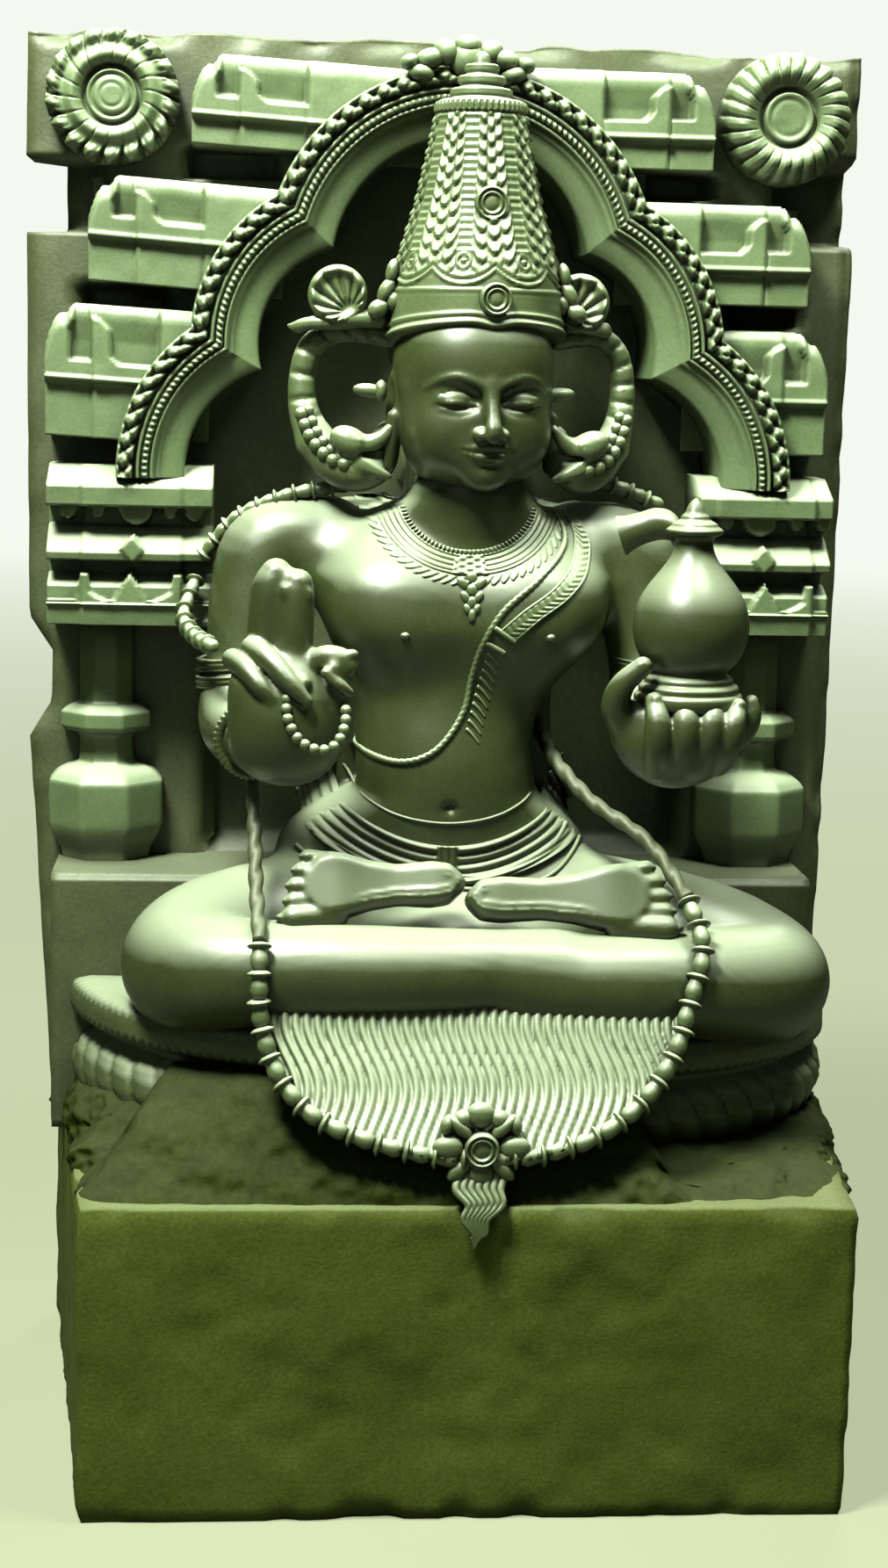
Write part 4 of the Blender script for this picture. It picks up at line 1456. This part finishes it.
# The covered water pot stands on a turned ring in the left hand; its flared spout points to the
# upper left, in front of the shoulder.
POT_X, POT_Y = 175.0, -88.0
POT_PROFILE = [(8, 594), (36, 595), (40, 598), (41, 602), (40, 606), (37.6, 607.5), (38, 610.5),
               (36.6, 613), (33.6, 614.5), (33.4, 617.5), (31, 620), (28.4, 621.5), (28.6, 623.5),
               (31, 626), (36, 631), (40.5, 640), (43, 650), (43.6, 658), (42.4, 667), (39, 677),
               (33, 687), (26, 696), (20, 704), (16, 711), (14.2, 717), (14, 721), (16, 724),
               (20, 725.5), (21.3, 727.2), (21, 729), (17.5, 731.5), (16.8, 733.2), (13.5, 735),
               (11, 736.5), (10.4, 738.8), (8, 741), (6.4, 745), (3.6, 749.5), (0.6, 752)]
radius, height = smooth_path(POT_PROFILE, 2).T[..., None]
angle = round_turn(96)
rings = points_of(POT_X + radius * np.cos(angle), POT_Y + radius * np.sin(angle), height)
SPOUT = [(178, -74, 712, 12), (166, -68, 727, 13), (154, -63, 731, 12.5), (142, -59, 728, 12),
         (132, -57, 724, 13), (126, -56, 721.5, 15), (124.5, -56, 721, 15), (127, -56, 721.5, 12),
         (138, -58, 725, 9)]
SPOUT_POINTS = np.array([-0.93, 0.2, -0.3])
spout = smooth_path(SPOUT, 6)
parts = [skin(rings)]
side_dir = unit(np.cross(SPOUT_POINTS, (0, 1.0, 0)))
face_dir = np.cross(side_dir, unit(SPOUT_POINTS))
angle = round_turn(32)[:, None]
parts.append(skin(spout[:, None, :3] + spout[:, 3:, None] * (np.cos(angle) * side_dir
                                                             + np.sin(angle) * face_dir)))
make_piece("water_pot", merge(parts), polished)


# The string of beads in the raised hand: even round beads in a loop that hangs from the folded
# fingers on the left to the thumb on the right.
rosary = spaced([(-126, -122, 606), (-126, -128, 590), (-118, -130, 574), (-104, -130, 566),
                 (-91, -128, 569), (-84, -122, 582), (-83, -114, 596)], 7.6)
ROSARY_BEAD = 4.3
beads = np.column_stack([rosary, np.full(len(rosary), ROSARY_BEAD)])
make_piece("rosary", strung(beads, ROUND_BEAD, 14), crisp)


# The lotus seat: a flat cushion with a beaded rim over a ring of drooping petals. The petals are
# clear at the right; at the left and in the middle they are worn down to rough rock.
SEAT_X, SEAT_BACK, SEAT_FRONT = 5.0, 140.0, -132.0
SEAT_HALF_LEFT, SEAT_HALF_RIGHT, SEAT_TILT = 308.0, 324.0, 0.022
SEAT_POWER, SEAT_PLACES = 2.7, 420
SEAT_PROFILE = [(227, 6), (232, 2), (240, 3), (248, 8), (253, 15), (257, 12), (262, 8), (272, 3),
                (282, 1), (292, 3), (300, 8), (305, 15), (308, 19), (315, 18.5), (317, 14), (319, 6),
                (321, 2), (326, 0), (334, 0), (340, 1.5), (344, 4), (346, 9), (347, 16)]
PETAL_PITCH, BEAD_PITCH = 27.0, 9.0
SEAT_MIDDLE, SEAT_FOOT, SEAT_RIM, SEAT_TOP = np.array([SEAT_X, 60.0]), 227, 320, 347
t = np.linspace(0, math.pi, 1800)
plan = np.stack([SEAT_X - np.where(t < math.pi / 2, SEAT_HALF_LEFT, SEAT_HALF_RIGHT)
                 * np.sign(np.cos(t)) * np.abs(np.cos(t)) ** (2 / SEAT_POWER),
                 SEAT_BACK + (SEAT_FRONT - SEAT_BACK) * np.abs(np.sin(t)) ** (2 / SEAT_POWER)], axis=-1)
run = run_along(plan)
even = np.linspace(0, run[-1], SEAT_PLACES)
plan = points_at(plan, run, even)
slopes = np.gradient(plan, axis=0)
normal = unit(np.column_stack([slopes[:, 1], -slopes[:, 0]]))
heights = np.concatenate([np.arange(SEAT_FOOT, SEAT_RIM, 2.6),
                          np.arange(SEAT_RIM, SEAT_TOP + 0.1, 1.8)])[:, None]
inset = np.interp(heights, *np.array(SEAT_PROFILE).T)
fade_front = smooth_step(np.abs(plan[:, 0] - 20), 120, 60)
petal_share = np.clip((heights - 253) / 54, 0, 1)
phase = np.mod(even / PETAL_PITCH + 0.42 * np.sin(math.pi * (petal_share - 0.5))
               + 0.1 * np.sin(2 * math.pi * petal_share), 1)
petal = (np.sin(math.pi * phase) ** 0.45 - 0.75) * 6.0 + 2.2 * (phase - 0.5)
clear = smooth_step(plan[:, 0], 110, 150) + 0.85 * smooth_step(plan[:, 0], -190, -250)
petal_zone = band(heights, 254, 306, 5)
rims = (1.5 * np.cos(2 * math.pi * even / BEAD_PITCH)
        * (band(heights, 319, 325, 2) + 0.8 * band(heights, 340.5, 345, 2)))
rock_at = points_of(plan[:, 0], plan[:, 1], heights)
rough = 7.0 * grain(rock_at, 30, 71) + 2.4 * grain(rock_at, 11, 72) + 0.8 * grain(rock_at, 5, 73)
rock_zone = np.clip(smooth_step(heights, 262, 250) + petal_zone * (1 - clear) * 0.45, 0, 1)
out = (-inset + petal * petal_zone * clear + rims * (1 - 0.6 * fade_front)
       + rough * rock_zone + 0.4 * grain(rock_at, 14, 74))
out = np.minimum(out, 6.0)
rings = points_of(plan[:, 0] + normal[:, 0] * out,
                  np.minimum(plan[:, 1] + normal[:, 1] * out, SEAT_BACK), heights)
tops = []
for share in np.linspace(0, 1, 8)[1:-1]:
    top = rings[-1].copy()
    top[:, :2] = top[:, :2] + (SEAT_MIDDLE - top[:, :2]) * share
    top[:, 2] = SEAT_TOP + 0.8 * share
    tops.append(top)
rings = np.concatenate([rings, np.array(tops)])
rings[..., 2] -= SEAT_TILT * (rings[..., 0] - SEAT_X) * smooth_step(rings[..., 2], 245, SEAT_RIM)
make_piece("lotus_seat", skin(rings), worn)


# The rock under the seat: it slopes from the seat down to the front edge of the block, fairly plain
# in the middle and broken into lumps at both ends, where its top is lower and the petals show.
ROCK_FOOT = [(-318, 90), (-302, 43), (-290, -55), (-279, -150), (-263, -190), (-200, -196),
             (-100, -197), (20, -198), (120, -196), (210, -195), (278, -188), (304, -150), (316, -66),
             (322, 60), (322, 110)]
ROCK_BACK, ROCK_ROWS = 130.0, 34
ROCK_LEFT, ROCK_RIGHT, ROCK_FOOT_Z, ROCK_CREST = -326, 328, 234, 316
foot_line = smooth_path(ROCK_FOOT, 40)
run = run_along(foot_line)
foot_line = points_at(foot_line, run, np.linspace(0, run[-1], len(plan)))
rise = np.linspace(0, 1, ROCK_ROWS)[:, None]
end_left, end_right = smooth_step(plan[:, 0], -212, -238), smooth_step(plan[:, 0], 124, 160)
crest = ROCK_CREST - 36 * end_left - 58 * end_right
tucked = plan + normal * (-1 - 5 * end_left + 1 * end_right)[:, None]
lean_back = 0.03 + 0.97 * rise ** (1.25 + 0.4 * end_left)
ground = foot_line + (tucked - foot_line) * lean_back[..., None] * (rise > 0)[..., None]
base = points_of(ground[..., 0], ground[..., 1], ROCK_FOOT_Z + (crest - ROCK_FOOT_Z) * rise)
lumpy = 0.5 + 0.5 * np.maximum(end_left, smooth_step(plan[:, 0], 60, 140))
lumps = 8 * grain(base, 36, 81) + 6 * grain(base, 15, 82) + 3 * grain(base, 6, 83)
shift = lumpy * lumps * smooth_step(rise, -0.1, 0.2) - 1.5 - 9 * smooth_step(rise, 0.93, 1.0)
rings = points_of(np.clip(base[..., 0] + normal[:, 0] * shift, ROCK_LEFT, ROCK_RIGHT),
                  np.clip(base[..., 1] + normal[:, 1] * shift, BLOCK_FRONT + 2, ROCK_BACK),
                  base[..., 2] + lumpy * 4 * grain(base, 22, 84) * smooth_step(rise, 0.3, 0.8))
make_piece("seat_rock", skin(rings), broken)


# The long garland hangs from both arms over the knees and closes below the cloth: barrel-shaped
# buds with a small collar at one end. Above the knees it is a plain twisted cord that lies in the
# shade of the arms and keeps little dust. Short pieces of it show over the shoulders.
GARLAND = [(-152, -22, 548), (-149, -62, 500), (-147, -100, 456), (-144, -140, 424), (-144, -154, 396),
           (-142, -156, 366), (-130, -168, 332), (-104, -182, 305), (-64, -190, 289), (-16, -195, 279),
           (20, -197, 277), (56, -195, 279), (102, -188, 291), (138, -176, 314), (162, -164, 346),
           (175, -150, 382), (186, -134, 420), (178, -106, 452), (152, -68, 488), (114, -32, 512),
           (90, 6, 536), (82, 60, 552), (82, 120, 556)]
SHOULDER_STRINGS = [[(-192, 56, 692), (-166, 50, 722), (-126, 42, 741), (-80, 40, 750)],
                    [(86, 34, 762), (128, 40, 755), (172, 48, 738)],
                    [(-198, 60, 672), (-206, 30, 646), (-196, -6, 634), (-182, -40, 630)]]
BUD_BEAD = [(-10.4, 2.0), (-10.2, 5.6), (-8.6, 8.8), (-7.4, 9.4), (-6.6, 8.4), (-6.2, 5.6), (-4.5, 5.4),
            (0, 6.4), (4.5, 7.0), (8.4, 5.6), (10.6, 3.6)]
LOWEST, CORD_ENDS = 10, (3, 17)
BUD_PITCH, SMALL_BUD = 21.0, 0.82
parts = [strung(spaced(half, BUD_PITCH), BUD_BEAD, 12)
         for half in (GARLAND[CORD_ENDS[0]:LOWEST + 1], GARLAND[CORD_ENDS[1]:LOWEST - 1:-1])]
upper_parts = GARLAND[:CORD_ENDS[0] + 1], GARLAND[CORD_ENDS[1]:]
make_piece("garland_cords", merge([cord(spaced(stops, 2.0), 6.0, 14, strands=2, lay=22, depth=0.28)
                                   for stops in upper_parts]), weathered)
for stops in SHOULDER_STRINGS:
    line = spaced(stops, 15.0)
    beads = np.column_stack([line, np.full(len(line), SMALL_BUD)])
    parts.append(strung(beads, BUD_BEAD, 12))
parts.append(cord(spaced(GARLAND, 6.0) + (0, 3.0, 0), 3.0, 8))
make_piece("garland", merge(parts), crisp)


# The cloth spread below the shins, carved on the rock: a fan of S-shaped pleats that slopes forward
# from the legs to the garland.
CLOTH_LEFT, CLOTH_RIGHT, CLOTH_TOP = -141.0, 168.0, 378.0
PLEAT_PITCH, CLOTH_DROP, CLOTH_Y, CLOTH_THICK = 8.2, 88, -130, 30
cloth_x = np.linspace(CLOTH_LEFT, CLOTH_RIGHT, 230)[:, None]
down = np.linspace(0, 1, 28)[None, :]
front_garland = np.array(GARLAND[5:16], float)
bottom = np.interp(cloth_x, front_garland[:, 0], front_garland[:, 2])
cloth_z = CLOTH_TOP + (np.minimum(bottom, CLOTH_TOP - 6) - CLOTH_TOP) * down
fall = (CLOTH_TOP - cloth_z) / CLOTH_DROP
wiggle = 7.5 * np.sin(2 * math.pi * (fall * 1.05 + 0.08)) + 6 * fall * (cloth_x - 14) / 150
pleat = np.mod((cloth_x + wiggle) / PLEAT_PITCH, 1)
fold = 4.2 * np.abs(np.sin(math.pi * pleat)) ** 0.7 + 1.2 * pleat
grid = points_of(cloth_x, CLOTH_Y - 60 * fall ** 1.1 - fold, cloth_z)
under = grid[:, ::-1] + (0, CLOTH_THICK, 0)
make_piece("fan_cloth", skin(np.concatenate([grid, under], axis=1)), crisp)


# The medallion where the garland closes: a ringed boss in a flower of four broad petals, a leafy
# crest above it, and below it a tassel of waved strands that run together on the rock.
MEDALLION = np.array([18.0, -200.0, 286.0])
parts = [badge(MEDALLION + (0, -2, 0), 12.5)]
PETAL_RING = [(0.0, 24, 9, 12), (math.pi, 24, 9, 12), (-math.pi / 2, 19, 10, 11),
              (math.pi / 4, 22, 5, 12), (3 * math.pi / 4, 22, 5, 12), (-math.pi / 4, 22, 6, 12),
              (-3 * math.pi / 4, 22, 6, 12)]
for angle, reach, half_wide, half_long in PETAL_RING:
    parts.append(bud(MEDALLION + (reach * math.cos(angle), 3, reach * math.sin(angle)),
                     (half_wide, 6.5, half_long), angle - math.pi / 2, rows=11, around=18))
CREST = [(-1, 24, 11, 10, 0.0), (-14, 21, 8, 7, 0.7), (13, 21, 8, 7, -0.7), (-25, 17, 8, 5, 1.2),
         (24, 17, 8, 5, -1.2)]
parts += [bud(MEDALLION + (cx, 5, cz), (w, 7, h), lean, rows=11, around=18)
          for cx, cz, w, h, lean in CREST]
for shift in np.arange(-3.0, 4.0):
    line = smooth_path([(20 + 5.2 * shift, -196, 266), (16 + 5.4 * shift, -202, 256),
                        (21 + 4.2 * shift, -207, 246), (14 + 3.0 * shift, -209.5, 236),
                        (17 + 1.6 * shift, -210.5, 226),
                        (13 + 0.5 * shift, -210.5, 214 + 2.5 * abs(shift))], 8)
    parts.append(cord(line, np.linspace(3.6, 1.2, len(line)), 10))
parts.append(bud((19, -192, 262), (20, 9, 10)))
make_piece("medallion", merge(parts), crisp)
